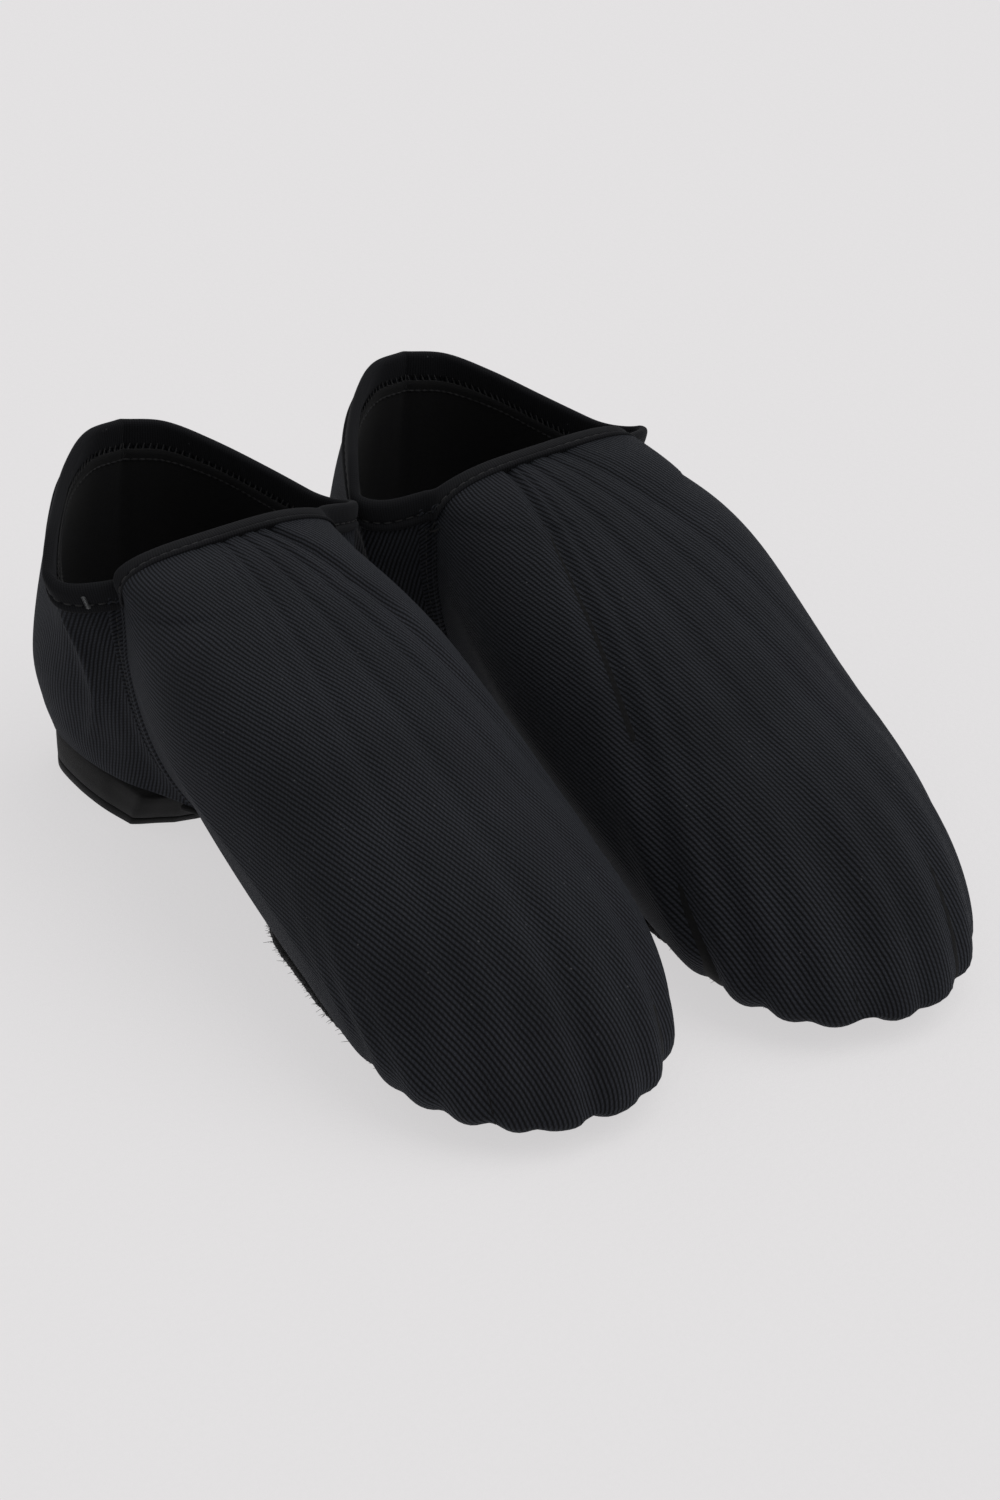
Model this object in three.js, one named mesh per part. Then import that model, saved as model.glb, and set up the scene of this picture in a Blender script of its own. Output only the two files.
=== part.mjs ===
import * as THREE from 'three';

// A pair of black canvas split-sole dance slippers, in millimetres, +Z up, toes toward -Y.
// Each slipper is drawn in its own terms: t runs from the heel to the toe, m is the distance
// from the centre line out to one side, z is the height above the floor.

// ---- placing of the pair ----
const HALF_SPACING = 46.2;        // centre line of each slipper to the middle of the pair, at the heel
const TOE_OUT = 0.5;              // degrees each slipper is turned outward
const HEEL_Y = { right: 125.0, left: 129.0 };

// ---- sizes ----
const TOE_T = 253;                // foremost point of the upper
const CANVAS = 1.2;               // canvas thickness
const GAP = 0.3;                  // clearance left between layers
const LINING = 0.7;
const COUNTER = 1.0;
const BIND_H = 7.4;               // height of the folded tape
const BIND_T = 3.0;               // thickness of tape over canvas and lining
const SOLE_H = 1.9;               // suede patch
const CAP_H = 2.7;                // lowest heel layer
const BLOCK_TOP = 12.5;
const TURN_IN = 7;                // canvas turned in under the foot
const FOLD = { in: 2.6, drop: 0.3 };
const TAPE = { out: 0.4, round: 0.9, sections: 88 };
const STRIP = { half: 3.2, low: 0.4, high: 1.2, steps: 14 };   // side seam strip, heights over the canvas
const INSOLE = { inset: 5.4, low: 2.3, high: 3.9 };            // low and high: over the bottom edge
const PAD = { low: 4.2, high: 7 };
const ARCH = { low: -1.9, high: -0.7 };
const FILLER = { low: 2.3, high: 3.9 };

// ---- small curve tools ----
const clamp01 = (x) => Math.min(1, Math.max(0, x));
const smooth = (x, a, b) => { const s = clamp01((x - a) / (b - a)); return s * s * (3 - 2 * s); };
const lerp = (a, b, f) => a + (b - a) * f;
const mix3 = (a, b, f) => [lerp(a[0], b[0], f), lerp(a[1], b[1], f), lerp(a[2], b[2], f)];
const dist = (a, b) => Math.hypot(a[0] - b[0], a[1] - b[1], a[2] - b[2]);

// Smooth function through the knots (xs, ys), held constant beyond the ends.
function through(xs, ys) {
  const n = xs.length, h = [], d = [], s = [];
  for (let i = 0; i < n - 1; i++) { h.push(xs[i + 1] - xs[i]); d.push((ys[i + 1] - ys[i]) / h[i]); }
  for (let i = 0; i < n; i++) {
    if (i === 0 || i === n - 1) s.push(d[Math.min(i, n - 2)]);
    else if (d[i - 1] * d[i] <= 0) s.push(0);
    else s.push(3 * (h[i - 1] + h[i]) / ((2 * h[i] + h[i - 1]) / d[i - 1] + (h[i] + 2 * h[i - 1]) / d[i]));
  }
  return (x0) => {
    const x = Math.min(xs[n - 1], Math.max(xs[0], x0));
    let i = 0;
    while (i < n - 2 && x > xs[i + 1]) i++;
    const u = (x - xs[i]) / h[i], u2 = u * u, u3 = u2 * u;
    return (2 * u3 - 3 * u2 + 1) * ys[i] + (u3 - 2 * u2 + u) * h[i] * s[i]
      + (3 * u2 - 2 * u3) * ys[i + 1] + (u3 - u2) * h[i] * s[i + 1];
  };
}

// Catmull-Rom curve through points, as a dense polyline.
function dense(points, per = 12) {
  const c = new THREE.CatmullRomCurve3(points.map((p) => new THREE.Vector3(...p)), false, 'catmullrom', 0.5);
  return c.getPoints(per * (points.length - 1)).map((v) => [v.x, v.y, v.z]);
}

// A polyline resampled to n steps of length: equal ones, or with crowd > 1 shorter toward its end.
function even(line, n, crowd = 1) {
  const run = [0];
  for (let i = 1; i < line.length; i++) run.push(run[i - 1] + dist(line[i], line[i - 1]));
  const out = [];
  let i = 0;
  for (let k = 0; k <= n; k++) {
    const s = run[run.length - 1] * (1 - Math.pow(1 - k / n, crowd));
    while (i < line.length - 2 && run[i + 1] < s) i++;
    out.push(mix3(line[i], line[i + 1], clamp01((s - run[i]) / Math.max(1e-9, run[i + 1] - run[i]))));
  }
  return out;
}

// The point of a falling polyline at height z.
function atHeight(line, z) {
  for (let i = 0; i < line.length - 1; i++) {
    if (line[i + 1][2] <= z) return mix3(line[i], line[i + 1], clamp01((line[i][2] - z) / (line[i][2] - line[i + 1][2])));
  }
  return line[line.length - 1];
}

// ---- the shape of the upper, outer side and inner side of the foot ----
const SIDES = {
  lat: {
    width: through([55, 64, 80, 100, 130, 160, 190, 215, 255], [49, 48.5, 48, 47, 45.5, 44, 43, 42, 40]),
    girth: through([55, 64, 80, 100, 130, 160, 190, 210, 230, 255], [64, 62, 61, 57, 48, 38, 27.5, 21, 15, 9.5]),
    square: through([55, 75, 110, 150, 190, 255], [3.8, 3.7, 3.4, 2.9, 2.5, 2.1]),
    seam: [[62, 33, 82], [63.5, 32, 71], [65.5, 32, 57], [68, 31, 44], [69, 26, 32], [73, 20, 23], [80, 14, 13]],
    feather: [[80, 14, 13], [90, 12.5, 9.5], [101, 13, 6.5], [114, 15.5, 4], [128, 20, 3], [146, 24, 2.5],
      [172, 27, 2.5], [204, 27, 2.5], [222, 23, 3], [234, 17, 3.5], [241.5, 9, 4], [244.5, 0, 4]],
    corner: [[44.5, 46, 81], [51, 49, 80], [56.3, 44.8, 80]],
  },
  med: {
    width: through([55, 64, 80, 100, 130, 160, 190, 215, 255], [41, 40.5, 40, 40.5, 41.5, 42.5, 42.5, 42, 40]),
    girth: through([55, 64, 80, 100, 130, 160, 190, 210, 230, 255], [62, 60, 58, 54, 45, 36, 27, 21, 15, 9.5]),
    square: through([55, 75, 110, 150, 190, 255], [2.9, 2.8, 2.4, 2.3, 2.2, 2.1]),
    seam: [[62, 29, 85], [63.5, 28.5, 72], [65.5, 29, 58], [68, 29, 44], [69, 25, 32], [73, 19.5, 23], [80, 14, 13]],
    feather: [[80, 14, 13], [90, 12.5, 9.5], [101, 13, 6.5], [114, 15.5, 4], [128, 20, 3], [146, 24, 2.5],
      [172, 25.5, 2.5], [204, 24.5, 2.5], [222, 20.5, 3], [234, 15.5, 3.5], [241.5, 8.5, 4], [244.5, 0, 4]],
    corner: [[43.5, 43.4, 81.4], [50, 46, 80.3], [56, 40.5, 81.3]],
  },
};
const RIDGE = through([55, 62, 80, 100, 130, 160, 185, 205, 225, 240, 255],
  [88.5, 88.5, 89, 87.5, 81.5, 72.5, 63, 54, 44.5, 37, 30]);
const RING_FRONT = through([0, 0.14, 0.3, 0.46, 0.62, 0.76, 0.88, 0.96, 1],
  [61, 85, 112, 142, 172, 200, 225, 244, TOE_T]);
const SEAM_BREAK = 60;            // height on the side seam where the upper starts to turn under
const SEAM_PULL = { reach: 62, least: 40, power: 1.7 };        // how far forward the side seam draws the upper in
// 1 along the foot, falling to 0 at the toe as a blunt round end
const closing = (t, from, n) => Math.pow(1 - Math.pow(clamp01((t - from) / (TOE_T - from)), n), 1 / n);
const ridgeAt = (t, q) => q.girth(t) + (RIDGE(t) - q.girth(t)) * closing(t, 212, 2.2);

// One line round the upper from the side seam to the middle of the front; u = 0 at the throat,
// 1 at the widest line.
function upperRing(u, q) {
  const seam = dense(q.seam), top = q.seam[0][2];
  const s0 = atHeight(seam, lerp(top, SEAM_BREAK, u));
  const ts = s0[0], t1 = RING_FRONT(u);
  const start = clamp01((s0[2] - q.girth(ts)) / (ridgeAt(ts, q) - q.girth(ts)));
  const rise = 1.3 + 1.25 * u * u / (1.03 - u);
  const line = [];
  for (let i = 0; i <= 60; i++) {
    const v = i / 60, x = Math.sin(Math.PI * v / 2), t = ts + (t1 - ts) * x;
    const s = u > 0.9999 ? 0 : clamp01(start + (1 - start) * Math.pow(x, rise));
    const p = q.square(t), g = q.girth(t);
    const w = q.width(t) * closing(t, 200, 2.5) * Math.pow(Math.max(0, 1 - Math.pow(s, p)), 1 / p);
    line.push([t, w, g + (ridgeAt(t, q) - g) * s]);
  }
  const off = [0, 1, 2].map((a) => s0[a] - line[0][a]);
  line.forEach((pt, i) => {
    const near = Math.abs(t1 - ts) > SEAM_PULL.least ? 1 - clamp01((pt[0] - ts) / SEAM_PULL.reach) : 1 - i / 60;
    const f = Math.pow(near, SEAM_PULL.power);
    for (let a = 0; a < 3; a++) pt[a] += off[a] * f;
  });
  line[60][1] = 0;
  return line;
}

const CROWD = 1.45;              // the grid is finer round the toe

// All lines from throat to the bottom edge on one side; rows[k][j], j from seam to front.
function vampSide(q, nu, nl, nv) {
  const rows = [];
  for (let k = 0; k <= nu; k++) rows.push(even(upperRing(k / nu, q), nv, CROWD));
  const g = rows[nu], f = even(dense(q.feather), nv, CROWD);
  for (let k = 1; k <= nl; k++) {
    rows.push(f.map((p, j) => {
      const b = lerp(0.25, 0.85, smooth(p[0], 80, 106)) * (1 - smooth(p[0], 150, 220));
      const x = k / nl, c = lerp(Math.cos(Math.PI * x / 2), 1 - x, b), s = lerp(Math.sin(Math.PI * x / 2), x, b);
      return [lerp(p[0], g[j][0], c), lerp(p[1], g[j][1], c), lerp(g[j][2], p[2], s)];
    }));
  }
  return rows;
}

// The seam edge of the vamp, as a falling polyline.
const seamLine = (q) => vampSide(q, 24, 16, 8).map((r) => r[0]);

// Lines round the heel on one side, from the middle of the back to the side seam.
function quarterLevels(q) {
  const seam = seamLine(q);
  const end = (z) => atHeight(seam, z);
  const c = q.corner;
  return [
    [[-1, 0, 94], [3, 12, 93.5], [12, 22, 90.5], [26, 33, 86], ...c, seam[0]],
    [[-3, 0, 68], [1.5, 15, 68], [11, 28, 67], [24, 36, 65], [41, 41.6, 63], [53, 42.3, 62], [59, 37.5, 62.5], end(65)],
    [[-2, 0, 43], [2, 17, 43], [9.5, 30, 42], [22, 38, 41], [38, 40, 40], [54, 35, 40], [61, 31, 41.5], end(44)],
    [[0.5, 0, 26], [3, 15, 26], [8.5, 26, 25.5], [18, 33.5, 25], [34, 35.5, 24.5], [54, 29, 24.5], [63, 25, 25.5], end(27)],
    [[3.5, 0, 13], [4.5, 13, 13], [8.5, 23, 13], [17, 29, 13.2], [36, 30, 13.5], [54, 27, 14], [66, 21, 13.8], seam[seam.length - 1]],
  ];
}

function quarterSide(q, nh, nv) {
  const levels = quarterLevels(q).map((l) => dense(l));
  const last = levels[0].length - 1, cols = [];
  for (let j = 0; j <= nv; j++) {
    const i = Math.round(last * j / nv);
    cols.push(even(dense(levels.map((l) => l[i])), nh));
  }
  return Array.from({ length: nh + 1 }, (_, k) => cols.map((c) => c[k]));
}

// ---- joining the two sides: outer side of the foot has negative x, inner side positive ----
const signed = (p, s) => [s * p[1], -p[0], p[2]];
const acrossFront = (lat, med) => lat.map((r, k) => [...r.map((p) => signed(p, -1)),
  ...med[k].slice(0, -1).reverse().map((p) => signed(p, 1))]);
const acrossBack = (lat, med) => lat.map((r, k) => [...r.slice(1).reverse().map((p) => signed(p, -1)),
  ...med[k].map((p) => signed(p, 1))]);

// ---- grids to solids ----
const vec = (p) => new THREE.Vector3(p[0], p[1], p[2]);

// Unit normals of a grid of points, all on the side away from the point named inside.
function gridNormals(grid, inside) {
  const nk = grid.length, nj = grid[0].length;
  const normals = grid.map((row, k) => row.map((p, j) => {
    const a = vec(row[Math.min(nj - 1, j + 1)]).sub(vec(row[Math.max(0, j - 1)]));
    const b = vec(grid[Math.min(nk - 1, k + 1)][j]).sub(vec(grid[Math.max(0, k - 1)][j]));
    return a.cross(b).normalize();
  }));
  const k = nk >> 1;
  const facing = grid[k].reduce((sum, p, j) => sum + vec(p).sub(vec(inside)).dot(normals[k][j]), 0);
  if (facing < 0) normals.forEach((row) => row.forEach((n) => n.negate()));
  return normals;
}

const INSIDE = [0, -75, 40];      // a point in the middle of the foot space

function geometry(points, faces) {
  const g = new THREE.BufferGeometry();
  g.setAttribute('position', new THREE.Float32BufferAttribute(points.flat(), 3));
  g.setIndex(faces.flat());
  g.computeVertexNormals();
  return g;
}

// Signed volume decides which way round the faces go.
function closed(points, faces) {
  let vol = 0;
  for (const [a, b, c] of faces) {
    const [p, q, r] = [points[a], points[b], points[c]];
    vol += p[0] * (q[1] * r[2] - q[2] * r[1]) - p[1] * (q[0] * r[2] - q[2] * r[0]) + p[2] * (q[0] * r[1] - q[1] * r[0]);
  }
  return geometry(points, vol > 0 ? faces : faces.map(([a, b, c]) => [a, c, b]));
}

// A sheet between two depths under part of a grid surface, closed round its edge. The end columns
// are drawn back by gap, so that neighbouring panels stay apart.
function sheet(whole, from, to, { rows = [0, whole.length], cols = [0, whole[0].length], gap = 0 } = {}) {
  const cut = (g) => g.slice(...rows).map((r) => r.slice(...cols));
  const grid = gap ? trimEnds(cut(whole), gap) : cut(whole), n = cut(gridNormals(whole, INSIDE));
  const nk = grid.length, nj = grid[0].length, pts = [], faces = [];
  for (const d of [from, to]) {
    grid.forEach((row, k) => row.forEach((p, j) => pts.push([0, 1, 2].map((a) => p[a] - n[k][j].getComponent(a) * d))));
  }
  const id = (s, k, j) => s * nk * nj + k * nj + j;
  const quad = (a, b, c, d) => { faces.push([a, b, c], [a, c, d]); };
  for (let k = 0; k < nk - 1; k++) {
    for (let j = 0; j < nj - 1; j++) {
      quad(id(0, k, j), id(0, k + 1, j), id(0, k + 1, j + 1), id(0, k, j + 1));
      quad(id(1, k, j), id(1, k, j + 1), id(1, k + 1, j + 1), id(1, k + 1, j));
    }
  }
  for (let j = 0; j < nj - 1; j++) {
    quad(id(0, 0, j), id(0, 0, j + 1), id(1, 0, j + 1), id(1, 0, j));
    quad(id(0, nk - 1, j + 1), id(0, nk - 1, j), id(1, nk - 1, j), id(1, nk - 1, j + 1));
  }
  for (let k = 0; k < nk - 1; k++) {
    quad(id(0, k + 1, 0), id(0, k, 0), id(1, k, 0), id(1, k + 1, 0));
    quad(id(0, k, nj - 1), id(0, k + 1, nj - 1), id(1, k + 1, nj - 1), id(1, k, nj - 1));
  }
  return closed(pts, faces);
}

// A ring of equal cross-sections: sections[i] is a loop of points.
function hoop(sections) {
  const n = sections.length, m = sections[0].length, faces = [];
  for (let i = 0; i < n; i++) {
    for (let j = 0; j < m; j++) {
      const a = i * m + j, b = i * m + (j + 1) % m, c = ((i + 1) % n) * m + (j + 1) % m, d = ((i + 1) % n) * m + j;
      faces.push([a, b, c], [a, c, d]);
    }
  }
  return closed(sections.flat(), faces);
}

// A plate between two closed outlines with the same number of points.
function plate(low, high) {
  const n = low.length, pts = [...low, ...high], faces = [];
  const flat = low.map((p) => new THREE.Vector2(p[0], p[1]));
  for (const [a, b, c] of THREE.ShapeUtils.triangulateShape(flat, [])) {
    faces.push([a, c, b], [n + a, n + b, n + c]);
  }
  for (let i = 0; i < n; i++) {
    const j = (i + 1) % n;
    faces.push([i, j, n + j], [i, n + j, n + i]);
  }
  return closed(pts, faces);
}

// ---- outlines seen from above, as loops of [x, y] ----
const loopOf = (lat, med) => [...lat.map(([t, m]) => [-m, -t]), ...med.slice(1, -1).reverse().map(([t, m]) => [m, -t])];

// Both sides of an outline given as [t, m] knots from the back middle to the front middle.
function outline(knots, n) {
  return even(dense(knots.map(([t, m]) => [t, m, 0])), n).map(([t, m]) => [t, m]);
}

// An outline moved inward by d.
function inset(loop, d) {
  const n = loop.length;
  let area = 0;
  loop.forEach((p, i) => { const q = loop[(i + 1) % n]; area += p[0] * q[1] - q[0] * p[1]; });
  const s = Math.sign(area);
  return loop.map((p, i) => {
    const a = loop[(i + n - 1) % n], b = loop[(i + 1) % n];
    const l = Math.hypot(b[0] - a[0], b[1] - a[1]);
    return [p[0] - s * (b[1] - a[1]) / l * d, p[1] + s * (b[0] - a[0]) / l * d];
  });
}

// Height of the bottom edge of the upper along the foot.
const FLOOR = through([0, 66, 80, 90, 101, 114, 128, 146, 204, 222, 245], [13, 13.8, 13, 9.5, 6.5, 4, 3, 2.5, 2.5, 3, 4]);
const raise = (loop, h) => loop.map(([x, y]) => [x, y, FLOOR(-y) + h]);
const level = (loop, z) => loop.map(([x, y]) => [x, y, z]);

// The whole bottom edge of the upper, heel and toe.
function bottomKnots(q) {
  const back = quarterLevels(q)[4].slice(0, -1), front = q.feather;
  return [...back, ...front].map(([t, m]) => [t, m]);
}

function bottomLoop(n) {
  return loopOf(outline(bottomKnots(SIDES.lat), n), outline(bottomKnots(SIDES.med), n));
}

// ---- pieces of one slipper, toes toward -Y, outer side at -X ----
const NV = 15;

function vampGrid(nu, nl) {
  return acrossFront(vampSide(SIDES.lat, nu, nl, NV), vampSide(SIDES.med, nu, nl, NV));
}

// The canvas is turned in under the foot by margin.
function turnedIn(grid, margin) {
  const edge = grid[grid.length - 1];
  const turned = (d, drop) => edge.map((p, j) => {
    const a = edge[Math.max(0, j - 1)], b = edge[Math.min(edge.length - 1, j + 1)];
    const l = Math.hypot(b[0] - a[0], b[1] - a[1]);
    return [p[0] - (b[1] - a[1]) / l * d, p[1] + (b[0] - a[0]) / l * d, p[2] - drop];
  });
  return [...grid, turned(FOLD.in, FOLD.drop), turned(margin, FOLD.drop)];
}

const quarterGrid = (nh) => acrossBack(quarterSide(SIDES.lat, nh, 12), quarterSide(SIDES.med, nh, 12));

// Move the end columns of a grid inward, so that neighbouring panels leave a gap.
function trimEnds(grid, gap) {
  return grid.map((row) => {
    const n = row.length, out = row.map((p) => [...p]);
    out[0] = mix3(row[0], row[1], Math.min(0.6, gap / dist(row[0], row[1])));
    out[n - 1] = mix3(row[n - 1], row[n - 2], Math.min(0.6, gap / dist(row[n - 1], row[n - 2])));
    return out;
  });
}

// Lower the first row along its columns, to make room for the tape.
function trimTop(grid, drop) {
  const cols = grid[0].map((_, j) => {
    const line = grid.map((r) => r[j]);
    let run = 0, i = 0;
    while (i < line.length - 2 && run + dist(line[i], line[i + 1]) < drop) { run += dist(line[i], line[i + 1]); i++; }
    const first = mix3(line[i], line[i + 1], (drop - run) / dist(line[i], line[i + 1]));
    return even([first, ...line.slice(i + 1)], line.length - 1);
  });
  return grid.map((_, k) => cols.map((c) => c[k]));
}

function binding() {
  const vamp = vampGrid(8, 4), quarter = quarterGrid(8).map((row) => [...row].reverse());
  const top = vamp[0], back = quarter[0];
  const ring = even([...top.slice(0, -1), ...back.slice(0, -1), top[0]], TAPE.sections).slice(0, -1);
  const below = [...vamp[1].slice(0, -1).map((p, j) => [p, top[j]]),
    ...quarter[1].slice(0, -1).map((p, j) => [p, back[j]])];
  const down = (p) => {
    let best = below[0];
    for (const b of below) if (dist(b[1], p) < dist(best[1], p)) best = b;
    return vec(best[0]).sub(vec(best[1])).normalize();
  };
  return hoop(ring.map((p, i) => {
    const n = ring.length, along = vec(ring[(i + 1) % n]).sub(vec(ring[(i + n - 1) % n])).normalize();
    const d = down(p), side = along.clone().cross(d).normalize();
    if (side.dot(new THREE.Vector3(0, -34, p[2]).sub(vec(p))) < 0) side.negate();
    const at = (s, h) => { const v = vec(p).addScaledVector(side, s).addScaledVector(d, h); return [v.x, v.y, v.z]; };
    const a = -TAPE.out, b = BIND_T - TAPE.out;
    return [at(a, TAPE.round), at((a + b) / 2, 0), at(b, TAPE.round), at(b, BIND_H), at(a, BIND_H)];
  }));
}

// A strip of tape lying on the canvas along the side seam.
function seamStrip(sideName) {
  const q = SIDES[sideName], s = sideName === 'lat' ? -1 : 1;
  const front = vampSide(q, 10, 8, NV), back = quarterSide(q, 14, 12);
  const column = (grid, j) => even(grid.map((row) => row[j]), STRIP.steps);
  const edge = column(front, 0), ahead = column(front, 1), behind = column(back, back[0].length - 2);
  const toward = (e, p) => mix3(e, p, STRIP.half / dist(e, p));
  const rows = [];
  for (let k = 2; k <= STRIP.steps - 2; k++) {
    const e = edge[k], f = toward(e, ahead[k]), b = toward(e, behind[k]);
    rows.push([b, e, f].map((p) => signed(p, s)));
  }
  return sheet(rows, -STRIP.high, -STRIP.low);
}

function heelOutline() {
  const side = outline([[5, 0], [5.3, 12], [8.3, 21.5], [15, 27], [28, 28.3], [42, 27.5], [54, 25]], 20);
  const breast = [[58.5, 14], [60, 0]];
  return loopOf([...side, ...breast], [...side, ...breast]);
}

// The heel block leans forward at its front face as it goes up.
function heelLayer(z0, z1) {
  const base = heelOutline();
  const lean = (z) => base.map(([x, y]) => {
    const f = smooth(-y, 46, 56), out = 0.06 * z;
    return [x * (1 + 0.0016 * z), y - f * z * 0.66 + (1 - smooth(-y, 8, 30)) * out, z];
  });
  return plate(lean(z0), lean(z1));
}

function soleLoop() {
  const knots = (q) => [[112, 0], [113, 10], [116, 16], [128, 21.5], ...q.feather.slice(5, 8).map(([t, m]) => [t, m + 0.6]),
    [220, 21.5], [230, 14], [234.5, 6], [235.5, 0]];
  return loopOf(outline(knots(SIDES.lat), 30), outline(knots(SIDES.med), 30));
}

function archLoop() {
  const k = [[70, 0], [70.2, 12], [71.2, 19], [75, 17.2], [80, 14], [90, 11.5], [101, 12], [107, 12.2], [109.3, 9], [109.8, 0]];
  return loopOf(outline(k, 16), outline(k, 16));
}

function fillerLoop() {
  const k = [[120, 0], [121, 6], [128, 11], [146, 15], [172, 16.5], [204, 16], [218, 12], [226, 6], [227, 0]];
  return loopOf(outline(k, 22), outline(k, 22));
}

function padLoop() {
  const k = [[13, 0], [14, 9], [18, 16], [28, 19.5], [44, 19], [58, 15], [66, 9], [68, 0]];
  return loopOf(outline(k, 18), outline(k, 18));
}

function pieces() {
  const cut = BIND_H + 0.9, deep = CANVAS + GAP, back = deep + COUNTER + GAP;
  const vamp = turnedIn(trimTop(vampGrid(8, 5), cut), TURN_IN);
  const quarter = trimTop(quarterGrid(9), cut);
  const sock = inset(bottomLoop(44), INSOLE.inset);
  return {
    vamp_canvas: sheet(vamp, 0, CANVAS, { gap: 0.6 }),
    vamp_lining: sheet(vamp, deep, deep + LINING, { gap: 0.6, rows: [0, 13] }),
    quarter_canvas: sheet(quarter, 0, CANVAS, { gap: 0.5 }),
    heel_counter: sheet(quarter, deep, deep + COUNTER, { rows: [3, 9], cols: [5, -5] }),
    quarter_lining: sheet(quarter, back, back + LINING, { gap: 2.2, rows: [0, 9] }),
    topline_binding: binding(),
    lateral_seam: seamStrip('lat'),
    medial_seam: seamStrip('med'),
    insole: plate(raise(sock, INSOLE.low), raise(sock, INSOLE.high)),
    heel_pad: plate(raise(padLoop(), PAD.low), raise(padLoop(), PAD.high)),
    arch_panel: plate(raise(archLoop(), ARCH.low), raise(archLoop(), ARCH.high)),
    bottom_filler: plate(level(fillerLoop(), FILLER.low), level(fillerLoop(), FILLER.high)),
    forefoot_sole: plate(level(soleLoop(), 0), level(soleLoop(), SOLE_H)),
    heel_block: heelLayer(CAP_H + GAP, BLOCK_TOP),
    heel_cap: heelLayer(0, CAP_H),
  };
}

// ---- colours ----
const LOOKS = {
  vamp_canvas: ['#1c1d21', 0.92], quarter_canvas: ['#1a1b1f', 0.92], vamp_lining: ['#101012', 0.95],
  quarter_lining: ['#101012', 0.95], heel_counter: ['#2a2825', 0.9], topline_binding: ['#141416', 0.9],
  lateral_seam: ['#1b1c20', 0.9], medial_seam: ['#1b1c20', 0.9], insole: ['#17171a', 0.9],
  heel_pad: ['#202024', 0.9], arch_panel: ['#1a1b1f', 0.92], bottom_filler: ['#3a342c', 0.9],
  forefoot_sole: ['#0d0d0e', 0.98], heel_block: ['#0c0c0d', 0.95], heel_cap: ['#0e0e0f', 0.95],
};

// The slouch of the soft upper: the front of the opening sits a little lower on one side.
function slouch(p) {
  const t = -p[1], f = 3.4 * (2 * smooth(t, 36, 62) - 1) * (1 - smooth(t, 95, 165));
  return f * p[0] / 40 * smooth(p[2], 40, 84);
}

// Put a finished piece of the right slipper in its place, or its mirror image for the left one.
function place(geo, which) {
  const g = geo.clone(), pos = g.attributes.position, s = which === 'right' ? 1 : -1;
  const a = THREE.MathUtils.degToRad(-TOE_OUT) * s;
  for (let i = 0; i < pos.count; i++) {
    const p = [s * pos.getX(i), pos.getY(i), pos.getZ(i)];
    const z = p[2] + slouch(p);
    pos.setXYZ(i, p[0] * Math.cos(a) - p[1] * Math.sin(a) - s * HALF_SPACING,
      p[0] * Math.sin(a) + p[1] * Math.cos(a) + HEEL_Y[which], z);
  }
  if (s < 0) {
    const index = g.index.array;
    for (let i = 0; i < index.length; i += 3) { const k = index[i]; index[i] = index[i + 1]; index[i + 1] = k; }
  }
  g.computeVertexNormals();
  return g;
}

const group = new THREE.Group();
group.name = 'dance_slippers';
for (const [name, geo] of Object.entries(pieces())) {
  for (const which of ['right', 'left']) {
    const [color, roughness] = LOOKS[name];
    const mesh = new THREE.Mesh(place(geo, which), new THREE.MeshStandardMaterial({ color, roughness, metalness: 0 }));
    mesh.name = which + '_' + name;
    group.add(mesh);
  }
}

// The origin is the middle of the pair on the floor.
const middle = new THREE.Box3().setFromObject(group).getCenter(new THREE.Vector3());
group.children.forEach((mesh) => mesh.geometry.translate(-middle.x, -middle.y, 0));

export default group;
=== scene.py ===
"""A pair of black canvas split-sole dance slippers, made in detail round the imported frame.

Shapes are worked out in each slipper's own terms, in millimetres: t runs from the heel to the
toe, m is the distance from the centre line out to one side, z is the height above the floor.
"""
import math

import bpy
import numpy as np
from mathutils import Matrix, Vector


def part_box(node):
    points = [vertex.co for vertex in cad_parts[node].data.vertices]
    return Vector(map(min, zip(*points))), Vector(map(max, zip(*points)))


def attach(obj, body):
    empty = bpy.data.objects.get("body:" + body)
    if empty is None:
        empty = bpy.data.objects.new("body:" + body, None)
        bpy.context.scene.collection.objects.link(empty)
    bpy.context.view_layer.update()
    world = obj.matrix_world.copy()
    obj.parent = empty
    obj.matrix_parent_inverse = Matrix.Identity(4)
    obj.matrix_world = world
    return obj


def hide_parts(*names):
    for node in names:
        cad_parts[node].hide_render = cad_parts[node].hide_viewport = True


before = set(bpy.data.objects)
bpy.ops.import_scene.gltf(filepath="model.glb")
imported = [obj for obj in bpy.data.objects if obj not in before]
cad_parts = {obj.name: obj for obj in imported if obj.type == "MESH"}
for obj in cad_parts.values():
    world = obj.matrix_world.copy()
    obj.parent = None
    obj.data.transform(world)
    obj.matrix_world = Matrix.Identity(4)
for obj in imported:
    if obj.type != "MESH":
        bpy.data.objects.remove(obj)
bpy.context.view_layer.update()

MM = 0.001
SIDES = ("right", "left")

# ---- the pair ----
TOE_OUT = math.radians(0.5)
SOLE_FRONT_T = 235.5             # the front of the suede patch
HEEL_MIDDLE_T = 25.0             # near where the heel is widest
SLOUCH = 3.4                     # how far the front of the opening leans down to one side

# ---- thicknesses and heights of the upper ----
CANVAS = 1.2
LINING = 0.7
GAP = 0.3                        # between two layers
COUNTER = 1.0
TAPE_H = 7.4
CANVAS_DROP = TAPE_H - 0.6       # how far below the topline the canvas starts
LINING_DROP = TAPE_H + 0.9
TOE_T = 253.0
SEAM_BREAK = 60.0                # the height at which the widest line of the front meets the seam
SEAM_PULL = dict(reach=62.0, least=40.0, power=1.7)     # how the side seam draws the front in

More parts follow.
